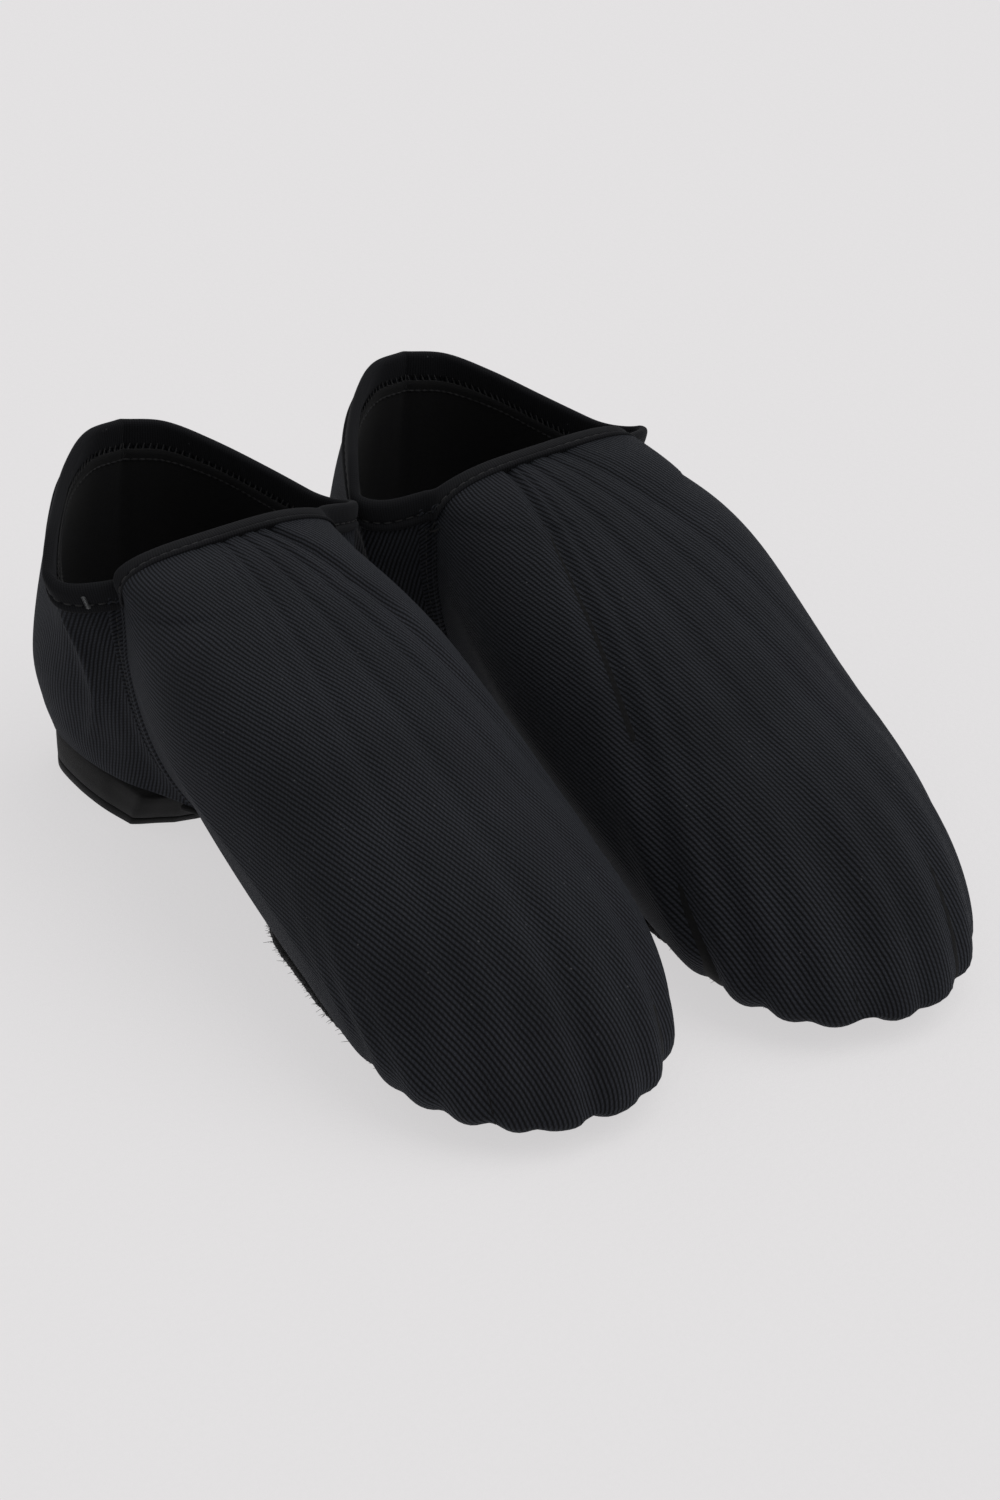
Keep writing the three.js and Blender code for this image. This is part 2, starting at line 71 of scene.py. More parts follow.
# ---- cloth ----
RIB_PITCH = 1.16
VAMP_RIB_ANGLE = {"right": math.radians(15), "left": math.radians(-11)}
QUARTER_RIB_ANGLE = {"right": math.radians(-18), "left": math.radians(18)}
SEEDS = {"front": 11, "sole": 21, "back": 31}           # for the right slipper, the left one has the next


# ======== curve tools ========
def through(xs, ys):
    """A smooth function through the knots (xs, ys), held constant beyond the ends."""
    xs, ys = np.array(xs, float), np.array(ys, float)
    h = np.diff(xs)
    d = np.diff(ys) / h
    s = np.concatenate([d[:1], np.zeros(len(xs) - 2), d[-1:]])
    for i in range(1, len(xs) - 1):
        if d[i - 1] * d[i] > 0:
            weights = (2 * h[i] + h[i - 1]) / d[i - 1] + (h[i] + 2 * h[i - 1]) / d[i]
            s[i] = 3 * (h[i - 1] + h[i]) / weights

    def curve(x0):
        x = np.clip(x0, xs[0], xs[-1])
        i = np.clip(np.searchsorted(xs, x, side="right") - 1, 0, len(xs) - 2)
        u = (x - xs[i]) / h[i]
        rise = u * u * (3 - 2 * u)
        bend = u * (1 - u) * h[i] * ((1 - u) * s[i] - u * s[i + 1])
        return (1 - rise) * ys[i] + rise * ys[i + 1] + bend

    return curve


def smooth(x, a, b):
    """0 at a, 1 at b, with a soft start and end."""
    s = np.clip((x - a) / (b - a), 0, 1)
    return s * s * (3 - 2 * s)


def lerp(a, b, f):
    return a + (b - a) * f


def dense(points, per=12):
    """A Catmull-Rom curve through points, along the first axis, as a dense polyline."""
    p = np.asarray(points, float)
    p = np.concatenate([[2 * p[0] - p[1]], p, [2 * p[-1] - p[-2]]])
    u = (np.arange(per) / per).reshape(-1, *[1] * (p.ndim - 1))
    out = []
    for i in range(1, len(p) - 2):
        a, b, c, d = p[i - 1], p[i], p[i + 1], p[i + 2]
        out.append(0.5 * (2 * b + (c - a) * u + (2 * a - 5 * b + 4 * c - d) * u ** 2
                          + (3 * b - a - 3 * c + d) * u ** 3))
    return np.concatenate(out + [p[-2:-1]])


def run_of(line):
    """Distance along a polyline at each of its points."""
    return np.concatenate([[0], np.cumsum(np.linalg.norm(np.diff(line, axis=0), axis=1))])


def sampled(values, run, s):
    """Values known at the distances run, read off at the distances s."""
    return np.stack([np.interp(s, run, values[:, a]) for a in range(values.shape[1])], -1)


def at_run(line, s):
    return sampled(line, run_of(line), s)


def even(line, n):
    """A polyline in n steps of equal length."""
    line = np.asarray(line, float)
    return at_run(line, run_of(line)[-1] * np.arange(n + 1) / n)


def at_height(line, z):
    """The point of a falling polyline at height z."""
    return np.array([np.interp(-z, -line[:, 2], line[:, a]) for a in range(3)])


def unit(v):
    return v / np.maximum(np.linalg.norm(v, axis=-1, keepdims=True), 1e-12)


# ======== the shape of the upper ========
# The bottom edge along the waist, alike on both sides.
WAIST = [[80, 14, 13], [90, 12.5, 9.5], [101, 13, 6.5], [114, 15.5, 4], [128, 20, 3], [146, 24, 2.5]]

# Of each side: half widths at the widest line, heights of that line and how square the upper
# is above it, all along t; then the seam, the bottom edge and the topline's corner as (t, m, z).
SHAPE = {
    "lat": dict(
        width=through([55, 64, 80, 100, 130, 160, 190, 215, 255],
                      [49, 48.5, 48, 47, 45.5, 44, 43, 42, 40]),
        girth=through([55, 64, 80, 100, 130, 160, 190, 210, 230, 255],
                      [64, 62, 61, 57, 48, 38, 27.5, 21, 15, 9.5]),
        square=through([55, 75, 110, 150, 190, 255], [3.8, 3.7, 3.4, 2.9, 2.5, 2.1]),
        seam=[[62, 33, 82], [63.5, 32, 71], [65.5, 32, 57], [68, 31, 44], [69, 26, 32], [73, 20, 23],
              [80, 14, 13]],
        feather=[*WAIST, [172, 27, 2.5], [204, 27, 2.5], [222, 23, 3], [234, 17, 3.5], [241.5, 9, 4],
                 [244.5, 0, 4]],
        corner=[[44.5, 46, 81], [51, 49, 80], [56.3, 44.8, 80]],
    ),
    "med": dict(
        width=through([55, 64, 80, 100, 130, 160, 190, 215, 255],
                      [41, 40.5, 40, 40.5, 41.5, 42.5, 42.5, 42, 40]),
        girth=through([55, 64, 80, 100, 130, 160, 190, 210, 230, 255],
                      [62, 60, 58, 54, 45, 36, 27, 21, 15, 9.5]),
        square=through([55, 75, 110, 150, 190, 255], [2.9, 2.8, 2.4, 2.3, 2.2, 2.1]),
        seam=[[62, 29, 85], [63.5, 28.5, 72], [65.5, 29, 58], [68, 29, 44], [69, 25, 32], [73, 19.5, 23],
              [80, 14, 13]],
        feather=[*WAIST, [172, 25.5, 2.5], [204, 24.5, 2.5], [222, 20.5, 3], [234, 15.5, 3.5],
                 [241.5, 8.5, 4], [244.5, 0, 4]],
        corner=[[43.5, 43.4, 81.4], [50, 46, 80.3], [56, 40.5, 81.3]],
    ),
}
RIDGE = through([55, 62, 80, 100, 130, 160, 185, 205, 225, 240, 255],
                [88.5, 88.5, 89, 87.5, 81.5, 72.5, 63, 54, 44.5, 37, 30])
RING_FRONT = through([0, 0.14, 0.3, 0.46, 0.62, 0.76, 0.88, 0.96, 1],
                     [61, 85, 112, 142, 172, 200, 225, 244, TOE_T])
FLOOR = through([0, 66, 80, 90, 101, 114, 128, 146, 204, 222, 245],
                [13, 13.8, 13, 9.5, 6.5, 4, 3, 2.5, 2.5, 3, 4])


def closing(t, start, n):
    """1 along the foot, falling to 0 at the toe as a blunt round end."""
    return (1 - np.clip((t - start) / (TOE_T - start), 0, 1) ** n) ** (1 / n)


def ridge_at(t, q):
    """Height of the top of the foot."""
    return q["girth"](t) + (RIDGE(t) - q["girth"](t)) * closing(t, 212, 2.2)


def upper_ring(u, q, n=180):
    """One line round the upper from the side seam to the middle of the front; u is 0 at the
    throat and 1 at the widest line."""
    seam = dense(q["seam"])
    s0 = at_height(seam, lerp(q["seam"][0][2], SEAM_BREAK, u))
    ts, t1 = s0[0], RING_FRONT(u)
    start = np.clip((s0[2] - q["girth"](ts)) / (ridge_at(ts, q) - q["girth"](ts)), 0, 1)
    v = np.arange(n + 1) / n
    x = np.sin(math.pi * v / 2)
    t = ts + (t1 - ts) * x
    s = np.clip(start + (1 - start) * x ** (1.3 + 1.25 * u * u / (1.03 - u)), 0, 1)
    if u > 0.9999:
        s = np.zeros_like(x)
    p, g = q["square"](t), q["girth"](t)
    w = q["width"](t) * closing(t, 200, 2.5) * np.maximum(0, 1 - s ** p) ** (1 / p)
    line = np.stack([t, w, g + (ridge_at(t, q) - g) * s], -1)
    near = 1 - np.clip((t - ts) / SEAM_PULL["reach"], 0, 1) if abs(t1 - ts) > SEAM_PULL["least"] else 1 - v
    line = line + (s0 - line[0]) * near[:, None] ** SEAM_PULL["power"]
    line[-1, 1] = 0
    return line


def vamp_side(q, nu, nl, nv):
    """Lines from the throat down to the bottom edge on one side: [row, seam to front, (t, m, z)]."""
    rows = [even(upper_ring(k / nu, q), nv) for k in range(nu + 1)]
    g, f = rows[nu], even(dense(q["feather"], 24), nv)
    b = lerp(0.25, 0.85, smooth(f[:, 0], 80, 106)) * (1 - smooth(f[:, 0], 150, 220))
    for k in range(1, nl + 1):
        x = k / nl
        c = lerp(math.cos(math.pi * x / 2), 1 - x, b)
        s = lerp(math.sin(math.pi * x / 2), x, b)
        rows.append(np.stack([lerp(f[:, 0], g[:, 0], c), lerp(f[:, 1], g[:, 1], c),
                              lerp(g[:, 2], f[:, 2], s)], -1))
    return np.array(rows)


def quarter_side(q, nh):
    """Lines round the heel on one side: [row, back middle to side seam, (t, m, z)]."""
    coarse_front = vamp_side(q, 24, 16, 8)
    seam = coarse_front[:, 0]
    level = [
        [[-1, 0, 94], [3, 12, 93.5], [12, 22, 90.5], [26, 33, 86], *q["corner"], seam[0]],
        [[-3, 0, 68], [1.5, 15, 68], [11, 28, 67], [24, 36, 65], [41, 41.6, 63], [53, 42.3, 62],
         [59, 37.5, 62.5], at_height(seam, 65)],
        [[-2, 0, 43], [2, 17, 43], [9.5, 30, 42], [22, 38, 41], [38, 40, 40], [54, 35, 40],
         [61, 31, 41.5], at_height(seam, 44)],
        [[0.5, 0, 26], [3, 15, 26], [8.5, 26, 25.5], [18, 33.5, 25], [34, 35.5, 24.5], [54, 29, 24.5],
         [63, 25, 25.5], at_height(seam, 27)],
        [[3.5, 0, 13], [4.5, 13, 13], [8.5, 23, 13], [17, 29, 13.2], [36, 30, 13.5], [54, 27, 14],
         [66, 21, 13.8], seam[-1]],
    ]
    lines = dense(np.array([dense(line) for line in level]), 24)
    return np.array([even(lines[:, j], nh) for j in range(lines.shape[1])]).transpose(1, 0, 2)


def signed(p, s):
    return np.stack([s * p[..., 1], -p[..., 0], p[..., 2]], -1)


def across_front(lat, med):
    """Both sides of the front as one grid of (x, y, z), the outer side first, at -x."""
    return np.concatenate([signed(lat, -1), signed(med, 1)[:, -2::-1]], 1)


def across_back(lat, med):
    return np.concatenate([signed(lat, -1)[:, :0:-1], signed(med, 1)], 1)


INSIDE = np.array([0, -75, 40])          # a point inside the slipper, below the throat


def normals_of(grid):
    """Unit normals of a grid, on the outer side."""
    n = unit(np.cross(np.gradient(grid, axis=1), np.gradient(grid, axis=0)))
    middle = n.shape[0] // 2
    if np.sum((grid[middle] - INSIDE) * n[middle]) < 0:
        n = -n
    return n


def soften(grid, rounds, first=0, last=None):
    """The grid smoothed along its columns between two rows, its first and last rows kept."""
    g = grid.copy()
    part = g[first:last]
    for _ in range(rounds):
        part[1:-1] = 0.5 * part[1:-1] + 0.25 * (part[:-2] + part[2:])
    return g


def trim_top(grid, drop):
    """Lower the first row along its columns by drop."""
    cols = []
    for j in range(grid.shape[1]):
        line = grid[:, j]
        run = run_of(line)
        cols.append(at_run(line, np.linspace(drop, run[-1], len(run))))
    return np.array(cols).transpose(1, 0, 2)


def turned_in(grid, margin, rows=7):
    """The bottom edge of the canvas turned in under the foot by margin."""
    edge = grid[-1]
    along = np.gradient(edge, axis=0)
    inward = unit(np.stack([-along[:, 1], along[:, 0], 0 * along[:, 0]], -1))
    towards = np.array([0, -150, 0]) - edge
    inward *= np.where(np.sum(inward[len(edge) // 2] * towards[len(edge) // 2]) < 0, -1, 1)
    extra = [edge + inward * margin * f + [0, 0, -0.3 * smooth(f, 0, 0.4)]
             for f in np.arange(1, rows + 1) / rows]
    return np.concatenate([grid, extra])


# ======== placing ========
def slouch(p):
    """The soft front of the opening sits a little lower on one side."""
    t = -p[..., 1]
    f = SLOUCH * (2 * smooth(t, 36, 62) - 1) * (1 - smooth(t, 95, 165))
    return f * p[..., 0] / 40 * smooth(p[..., 2], 40, 84)


def sign_of(side):
    return 1 if side == "right" else -1


def heel_origin(side):
    """Where a slipper's own origin, the back of its heel, lies in the row frame, in mm."""
    low_sole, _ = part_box(side + "_forefoot_sole")
    low_heel, high_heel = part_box(side + "_heel_cap")
    middle = (low_heel.x + high_heel.x) / 2 / MM
    return np.array([middle + sign_of(side) * HEEL_MIDDLE_T * math.sin(TOE_OUT),
                     low_sole.y / MM + SOLE_FRONT_T * math.cos(TOE_OUT), 0])


def place(points, side):
    """Points of the right slipper's own frame, in mm, to either slipper's place, in metres."""
    s = sign_of(side)
    p = np.asarray(points, float) * [s, 1, 1]
    p[..., 2] += slouch(p)
    a = -TOE_OUT * s
    x = p[..., 0] * math.cos(a) - p[..., 1] * math.sin(a)
    y = p[..., 0] * math.sin(a) + p[..., 1] * math.cos(a)
    return (np.stack([x, y, p[..., 2]], -1) + heel_origin(side)) * MM


# ======== meshes ========
def new_object(name, data):
    ob = bpy.data.objects.new(name, data)
    bpy.context.scene.collection.objects.link(ob)
    return ob


def add_mesh(name, side, points, faces, material, replaces=(), cloth=None):
    """A smooth mesh from points in a slipper's own frame, riding on that slipper."""
    me = bpy.data.meshes.new(side + "_" + name)
    faces = faces.tolist() if isinstance(faces, np.ndarray) else faces
    if side == "left":
        faces = [face[::-1] for face in faces]
    me.from_pydata(place(points, side).tolist(), [], faces)
    me.polygons.foreach_set("use_smooth", [True] * len(me.polygons))
    if cloth is not None:
        attribute = me.attributes.new("cloth", "FLOAT_VECTOR", "POINT")
        attribute.data.foreach_set("vector", np.asarray(cloth, np.float32).ravel())
    me.validate()
    ob = new_object(side + "_" + name, me)
    me.materials.append(material)
    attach(ob, side + "_slipper")
    if replaces:
        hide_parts(*[side + "_" + node for node in replaces])
    return ob


def quads(nk, nj, start=0, wrap=False, flip=False):
    """The faces of a grid of nk rows of nj points; wrap joins the last column to the first."""
    k, j = np.meshgrid(np.arange(nk - 1), np.arange(nj if wrap else nj - 1), indexing="ij")
    a, b = k * nj + j, k * nj + (j + 1) % nj
    faces = np.stack([a, a + nj, b + nj, b], -1).reshape(-1, 4) + start
    return faces[:, ::-1] if flip else faces


def shell(grid, normals, outer, inner):
    """Points and faces of a closed sheet between two depths under a grid."""
    nk, nj = grid.shape[:2]
    top, under = grid - normals * outer, grid - normals * inner
    n = nk * nj
    rim = np.concatenate([np.arange(nj), nj - 1 + nj * np.arange(1, nk), n - 2 - np.arange(nj - 1),
                          nj * np.arange(nk - 2, 0, -1)])
    nxt = np.roll(rim, -1)
    points = np.concatenate([top.reshape(-1, 3), under.reshape(-1, 3)])
    faces = np.concatenate([quads(nk, nj), quads(nk, nj, n, flip=True),
                            np.stack([rim, nxt, nxt + n, rim + n], -1)])
    return points, outward(points, faces)


def hoop(sections):
    """Points and faces of a closed ring of equal cross-sections."""
    n, m = sections.shape[:2]
    points = sections.reshape(-1, 3)
    k, j = np.meshgrid(np.arange(n), np.arange(m), indexing="ij")
    a, b = k * m + j, k * m + (j + 1) % m
    c, d = ((k + 1) % n) * m + (j + 1) % m, ((k + 1) % n) * m + j
    return points, outward(points, np.stack([a, b, c, d], -1).reshape(-1, 4))


def volume_of(points, faces):
    """Six times the volume inside four-sided faces, below 0 where they face inward."""
    a, b, c, d = (points[faces[:, i]] for i in range(4))
    return np.sum(np.cross(a, b) * c) + np.sum(np.cross(a, c) * d)


def outward(points, faces):
    """The faces turned, all together, so that they face out."""
    return faces if volume_of(points, faces) > 0 else faces[:, ::-1]


ANY_WAY = [0.31, 0.17, 0.93]             # a direction along which no thread runs


def threads(name, side, lines, radius, material, around=6):
    """One mesh with a thread along each of several short polylines, with thinner ends."""
    points, faces = [], []
    for line in lines:
        line = np.asarray(line, float)
        along = unit(np.gradient(line, axis=0))
        across = unit(np.cross(along, ANY_WAY))
        up = np.cross(across, along)
        turn = np.arange(around) * 2 * math.pi / around
        thick = np.full(len(line), radius)
        thick[[0, -1]] *= 0.45
        round_it = np.cos(turn)[None, :, None] * across[:, None] + np.sin(turn)[None, :, None] * up[:, None]
        ring = line[:, None] + thick[:, None, None] * round_it
        start = sum(len(p) for p in points)
        points.append(ring.reshape(-1, 3))
        faces += quads(len(line), around, start, wrap=True).tolist()
        faces.append(list(range(start, start + around)))
        last = start + (len(line) - 1) * around
        faces.append(list(range(last + around - 1, last - 1, -1)))
    return add_mesh(name, side, np.concatenate(points), faces, MATERIALS[material])


# ======== materials ========
class Nodes:
    """Short calls for wiring one procedural material."""

    def __init__(self, name, roughness=0.9, sheen=0.0, sheen_tint=(1, 1, 1), specular=0.3):
        self.material = bpy.data.materials.new(name)
        self.material.use_nodes = True
        self.tree = self.material.node_tree
        self.shader = self.tree.nodes["Principled BSDF"]
        self.shader.inputs["Roughness"].default_value = roughness
        self.shader.inputs["Specular IOR Level"].default_value = specular
        self.shader.inputs["Sheen Weight"].default_value = sheen
        self.shader.inputs["Sheen Roughness"].default_value = 0.45
        self.shader.inputs["Sheen Tint"].default_value = (*sheen_tint, 1)

    def add(self, kind, **settings):
        node = self.tree.nodes.new(kind)
        for key, value in settings.items():
            setattr(node, key, value)
        return node

    def put(self, socket, value):
        if isinstance(value, bpy.types.NodeSocket):
            self.tree.links.new(value, socket)
        else:
            socket.default_value = value

    def math(self, operation, *values):
        node = self.add("ShaderNodeMath", operation=operation)
        for socket, value in zip(node.inputs, values):
            self.put(socket, value)
        return node.outputs[0]

    def wave(self, value, length):
        """A sine wave of a given wavelength."""
        return self.math("SINE", self.math("MULTIPLY", value, 2 * math.pi / length))

    def parts(self, vector):
        """The components of a vector, by the names X, Y and Z."""
        node = self.add("ShaderNodeSeparateXYZ")
        self.put(node.inputs[0], vector)
        return node.outputs

    def place(self, attribute=None):
        """Coordinates in mm: the piece's own, or those that an attribute holds."""
        if attribute:
            return self.add("ShaderNodeAttribute", attribute_name=attribute).outputs["Vector"]
        here = self.add("ShaderNodeTexCoord").outputs["Object"]
        return self.scaled(here, (1 / MM,) * 3)

    def scaled(self, vector, scale):
        node = self.add("ShaderNodeMapping")
        node.inputs["Scale"].default_value = scale
        self.put(node.inputs["Vector"], vector)
        return node.outputs[0]

    def noise(self, vector, scale, detail=2.0, rough=0.5):
        node = self.add("ShaderNodeTexNoise")
        self.put(node.inputs["Vector"], vector)
        node.inputs["Scale"].default_value = scale
        node.inputs["Detail"].default_value = detail
        node.inputs["Roughness"].default_value = rough
        return node.outputs["Fac"]

    def range(self, value, low, high, to_low=0.0, to_high=1.0):
        node = self.add("ShaderNodeMapRange")
        for socket, v in zip(node.inputs, (value, low, high, to_low, to_high)):
            self.put(socket, v)
        return node.outputs[0]

    def blend(self, fac, a, b):
        """A mix of two colours: sockets 6 and 7 of the mix node hold them, output 2 the result."""
        node = self.add("ShaderNodeMix", data_type="RGBA")
        self.put(node.inputs[0], fac)
        for socket, colour in zip((node.inputs[6], node.inputs[7]), (a, b)):
            self.put(socket, (*colour, 1) if isinstance(colour, tuple) else colour)
        return node.outputs[2]

    def finish(self, colour, height=None, depth=0.1, roughness=None):
        self.put(self.shader.inputs["Base Color"], colour)
        if roughness is not None:
            self.put(self.shader.inputs["Roughness"], roughness)
        if height is not None:
            bump = self.add("ShaderNodeBump")
            bump.inputs["Distance"].default_value = depth * MM
            self.put(bump.inputs["Height"], height)
            self.put(self.shader.inputs["Normal"], bump.outputs[0])
        return self.material


def lint(n, where, colour, light=(0.09, 0.09, 0.095)):
    """Sparse pale specks of lint over a colour."""
    specks = n.add("ShaderNodeTexVoronoi", feature="F1")
    n.put(specks.inputs["Vector"], where)
    specks.inputs["Scale"].default_value = 0.42
    near = n.range(specks.outputs["Distance"], 0.05, 0.12, 1.0, 0.0)
    kept = n.range(n.noise(where, 0.31, 0.0), 0.64, 0.68)
    return n.blend(n.math("MULTIPLY", near, n.math("MULTIPLY", kept, 0.45)), colour, light)


def twill():
    """Cotton twill: ribs along the cloth's second coordinate, each a row of slanting floats."""
    n = Nodes("twill", roughness=0.88, sheen=0.035, sheen_tint=(0.7, 0.78, 0.95), specular=0.12)
    cloth = n.place("cloth")
    part = n.parts(cloth)
    wander = n.math("MULTIPLY", n.math("SUBTRACT", n.noise(cloth, 0.22, 2.0), 0.5), 0.42)
    across = n.math("ADD", n.math("DIVIDE", part["X"], RIB_PITCH), wander)
    rib = n.math("POWER", n.range(n.wave(across, 1), -1.0, 1.0), 0.75)
    along = n.math("ADD", n.math("DIVIDE", part["Y"], 1.15), n.math("MULTIPLY", across, 0.62))
    floats = n.range(n.wave(along, 1), -1.0, 1.0, 0.72, 1.0)
    fibre = n.range(n.noise(cloth, 3.1, 3.0, 0.7), 0.25, 0.75, 0.55, 1.15)
    height = n.math("MULTIPLY", n.math("MULTIPLY", rib, floats), fibre)
    patches = n.range(n.noise(n.place(), 0.028, 3.0, 0.55), 0.32, 0.70)
    bright = n.blend(patches, (0.0185, 0.0200, 0.0250), (0.0265, 0.0285, 0.0355))
    # Painted shade: the colour falls from the crest colour to near black down in the valleys between the
    # ribs, following the rib height.
    shade = n.blend(n.range(height, 0.10, 0.85), (0.0018, 0.0019, 0.0023), bright)
    return n.finish(lint(n, cloth, shade), height, 0.34)


def knit_tape():
    """Folded knit tape: fine cords across its width."""
    n = Nodes("knit_tape", roughness=0.9, sheen=0.03, sheen_tint=(0.8, 0.82, 0.9), specular=0.08)
    cloth = n.place("cloth")
    part = n.parts(cloth)
    cords, loops = n.wave(part["X"], 0.72), n.wave(part["Y"], 0.55)
    grain = n.noise(cloth, 2.6, 3.0, 0.7)
    height = n.math("ADD", n.math("MULTIPLY_ADD", cords, 0.22, 0.5), n.math("MULTIPLY", loops, 0.10))
    height = n.math("ADD", height, n.math("MULTIPLY", grain, 0.5))
    shade = n.blend(n.range(height, 0.35, 1.25), (0.0026, 0.0026, 0.0030), (0.0105, 0.0108, 0.0125))
    return n.finish(lint(n, cloth, shade), height, 0.12)


def plain_cloth(name, colour, pitch=0.6, depth=0.1, sheen=0.03):
    """Thin plain-woven cloth: two sets of threads crossing at right angles."""
    n = Nodes(name, roughness=0.95, sheen=sheen, specular=0.2)
    here = n.place()
    part = n.parts(here)
    weave = n.math("MULTIPLY", n.wave(n.math("ADD", part["X"], part["Z"]), pitch), n.wave(part["Y"], pitch))
    fuzz = n.math("MULTIPLY", n.noise(here, 0.9, 3.0), 0.4)
    height = n.math("ADD", n.math("MULTIPLY_ADD", weave, 0.25, 0.5), fuzz)
    dark = tuple(0.45 * c for c in colour)
    return n.finish(n.blend(n.range(height, 0.3, 1.1), dark, colour), height, depth)


def suede(name, dark, light, depth=0.16, sheen=0.25):
    """Short-napped leather: fine fuzz over slow changes of tone where the nap is brushed."""
    n = Nodes(name, roughness=0.97, sheen=sheen, sheen_tint=(0.7, 0.7, 0.72), specular=0.15)
    here = n.place()
    nap = n.noise(here, 2.4, 5.0, 0.75)
    brushed = n.range(n.noise(here, 0.11, 3.0), 0.3, 0.7)
    tone = n.math("MULTIPLY", n.range(nap, 0.3, 0.7), n.math("MULTIPLY_ADD", brushed, 0.5, 0.5))
    return n.finish(n.blend(tone, dark, light), nap, depth)


def felt():
    """Pressed wool, its fibres lying mostly one way."""
    n = Nodes("felt", roughness=1.0, specular=0.1)
    here = n.place()
    fibres = n.noise(n.scaled(here, (1.0, 0.35, 1.0)), 1.6, 5.0, 0.8)
    return n.finish(n.blend(n.range(fibres, 0.3, 0.7), (0.045, 0.034, 0.023), (0.11, 0.085, 0.06)),
                    fibres, 0.3)


def fibre_board():
    """Pressed board of short fibres and chips."""
    n = Nodes("fibre_board", roughness=0.8)
    here = n.place()
    chips = n.noise(here, 0.8, 6.0, 0.8)
    return n.finish(n.blend(n.range(chips, 0.35, 0.65), (0.032, 0.028, 0.024), (0.07, 0.06, 0.05)),
                    chips, 0.08)


def thread(name, dark, light):
    """Twisted sewing thread."""
    n = Nodes(name, roughness=0.7, specular=0.4)
    here = n.place()
    part = n.parts(here)
    slant = n.math("ADD", part["X"], n.math("ADD", part["Y"], part["Z"]))
    twist = n.wave(slant, 0.35)
    return n.finish(n.blend(n.range(twist, -1.0, 1.0), dark, light), twist, 0.05)


MATERIALS = {
    "twill": twill(),
    "tape": knit_tape(),
    "lining": plain_cloth("lining_cloth", (0.0050, 0.0050, 0.0055)),
    "sock": plain_cloth("sock_cloth", (0.012, 0.012, 0.013), 0.9, 0.12),
    "pad": plain_cloth("brushed_cloth", (0.014, 0.014, 0.016), 0.8, 0.16, 0.1),
    "suede": suede("split_suede", (0.0015, 0.0015, 0.0015), (0.010, 0.010, 0.0105)),
    "heel": suede("heel_suede", (0.0012, 0.0012, 0.0012), (0.0085, 0.0085, 0.0088), 0.12, 0.12),
    "felt": felt(),
    "board": fibre_board(),
    "thread": thread("black_thread", (0.003, 0.003, 0.003), (0.022, 0.022, 0.024)),
    "facing_thread": thread("facing_thread", (0.002, 0.002, 0.002), (0.014, 0.014, 0.016)),
    "tack_thread": thread("grey_thread", (0.03, 0.03, 0.032), (0.16, 0.165, 0.17)),
}


# ======== how the cloth lies ========
def flat_cloth(grid, normals, along, angle):
    """Flat cloth coordinates of a grid in mm, across and along its ribs. The ribs start out at
    an angle to a direction drawn on the surface, then settle until they are evenly spaced."""
    e1 = unit(along - np.sum(along * normals, -1, keepdims=True) * normals)
    across = math.cos(angle) * np.cross(normals, e1) - math.sin(angle) * e1
    dh, dv = np.diff(grid, axis=1), np.diff(grid, axis=0)
    lh, lv = np.linalg.norm(dh, axis=-1) + 1e-3, np.linalg.norm(dv, axis=-1) + 1e-3
    wh = np.clip(0.5 * (np.vstack([lv, lv[-1:]]) + np.vstack([lv[:1], lv]))[:, :-1] / lh, 0.2, 5)
    wv = np.clip(0.5 * (np.hstack([lh, lh[:, -1:]]) + np.hstack([lh[:, :1], lh]))[:-1] / lv, 0.2, 5)

    def field(direction, rounds):
        return settle(wh, wv, np.sum(dh * (direction[:, 1:] + direction[:, :-1]) / 2, -1),
                      np.sum(dv * (direction[1:] + direction[:-1]) / 2, -1), rounds)

    for turn in range(4):
        ribs = field(across, 160 if turn else 600)
        across = unit(slope(ribs, grid))
    return ribs, field(np.cross(across, normals), 400)


def slope(f, grid):
    """The direction in which a field on a grid rises, as vectors along the surface."""
    du, dv = np.gradient(grid, axis=1), np.gradient(grid, axis=0)
    fu, fv = np.gradient(f, axis=1), np.gradient(f, axis=0)
    uu, vv, uv = np.sum(du * du, -1), np.sum(dv * dv, -1), np.sum(du * dv, -1)
    area = np.maximum(uu * vv - uv * uv, 1e-9)
    return (((vv * fu - uv * fv) / area)[..., None] * du
            + ((uu * fv - uv * fu) / area)[..., None] * dv)


def gathered(h, v, sign):
    """At each point of a grid, the steps that arrive there, plus sign times those that leave."""
    out = np.zeros((v.shape[0] + 1, v.shape[1]))
    out[:, 1:] += h
    out[:, :-1] += sign * h
    out[1:] += v
    out[:-1] += sign * v
    return out


def settle(wh, wv, gh, gv, rounds):
    """The scalar field on a grid whose steps match gh and gv best, by conjugate gradients."""
    middle = gv.shape[1] // 2
    down = np.concatenate([[0], np.cumsum(gv[:, middle])])
    sideways = np.concatenate([np.zeros((len(down), 1)), np.cumsum(gh, axis=1)], axis=1)
    f = down[:, None] + sideways - sideways[:, middle:middle + 1]
    scale = 1 / gathered(wh, wv, 1)
    left = gathered(wh * (gh - np.diff(f, axis=1)), wv * (gv - np.diff(f, axis=0)), -1)
    z = left * scale
    p, power = z.copy(), np.sum(left * z)
    for _ in range(rounds):
        ap = gathered(wh * np.diff(p, axis=1), wv * np.diff(p, axis=0), -1)
        step = power / max(np.sum(p * ap), 1e-30)
        f += step * p
        left -= step * ap
        z = left * scale
        new = np.sum(left * z)
        if new < 1e-9:
            break
        p = z + new / power * p
        power = new
    return f - f.mean()


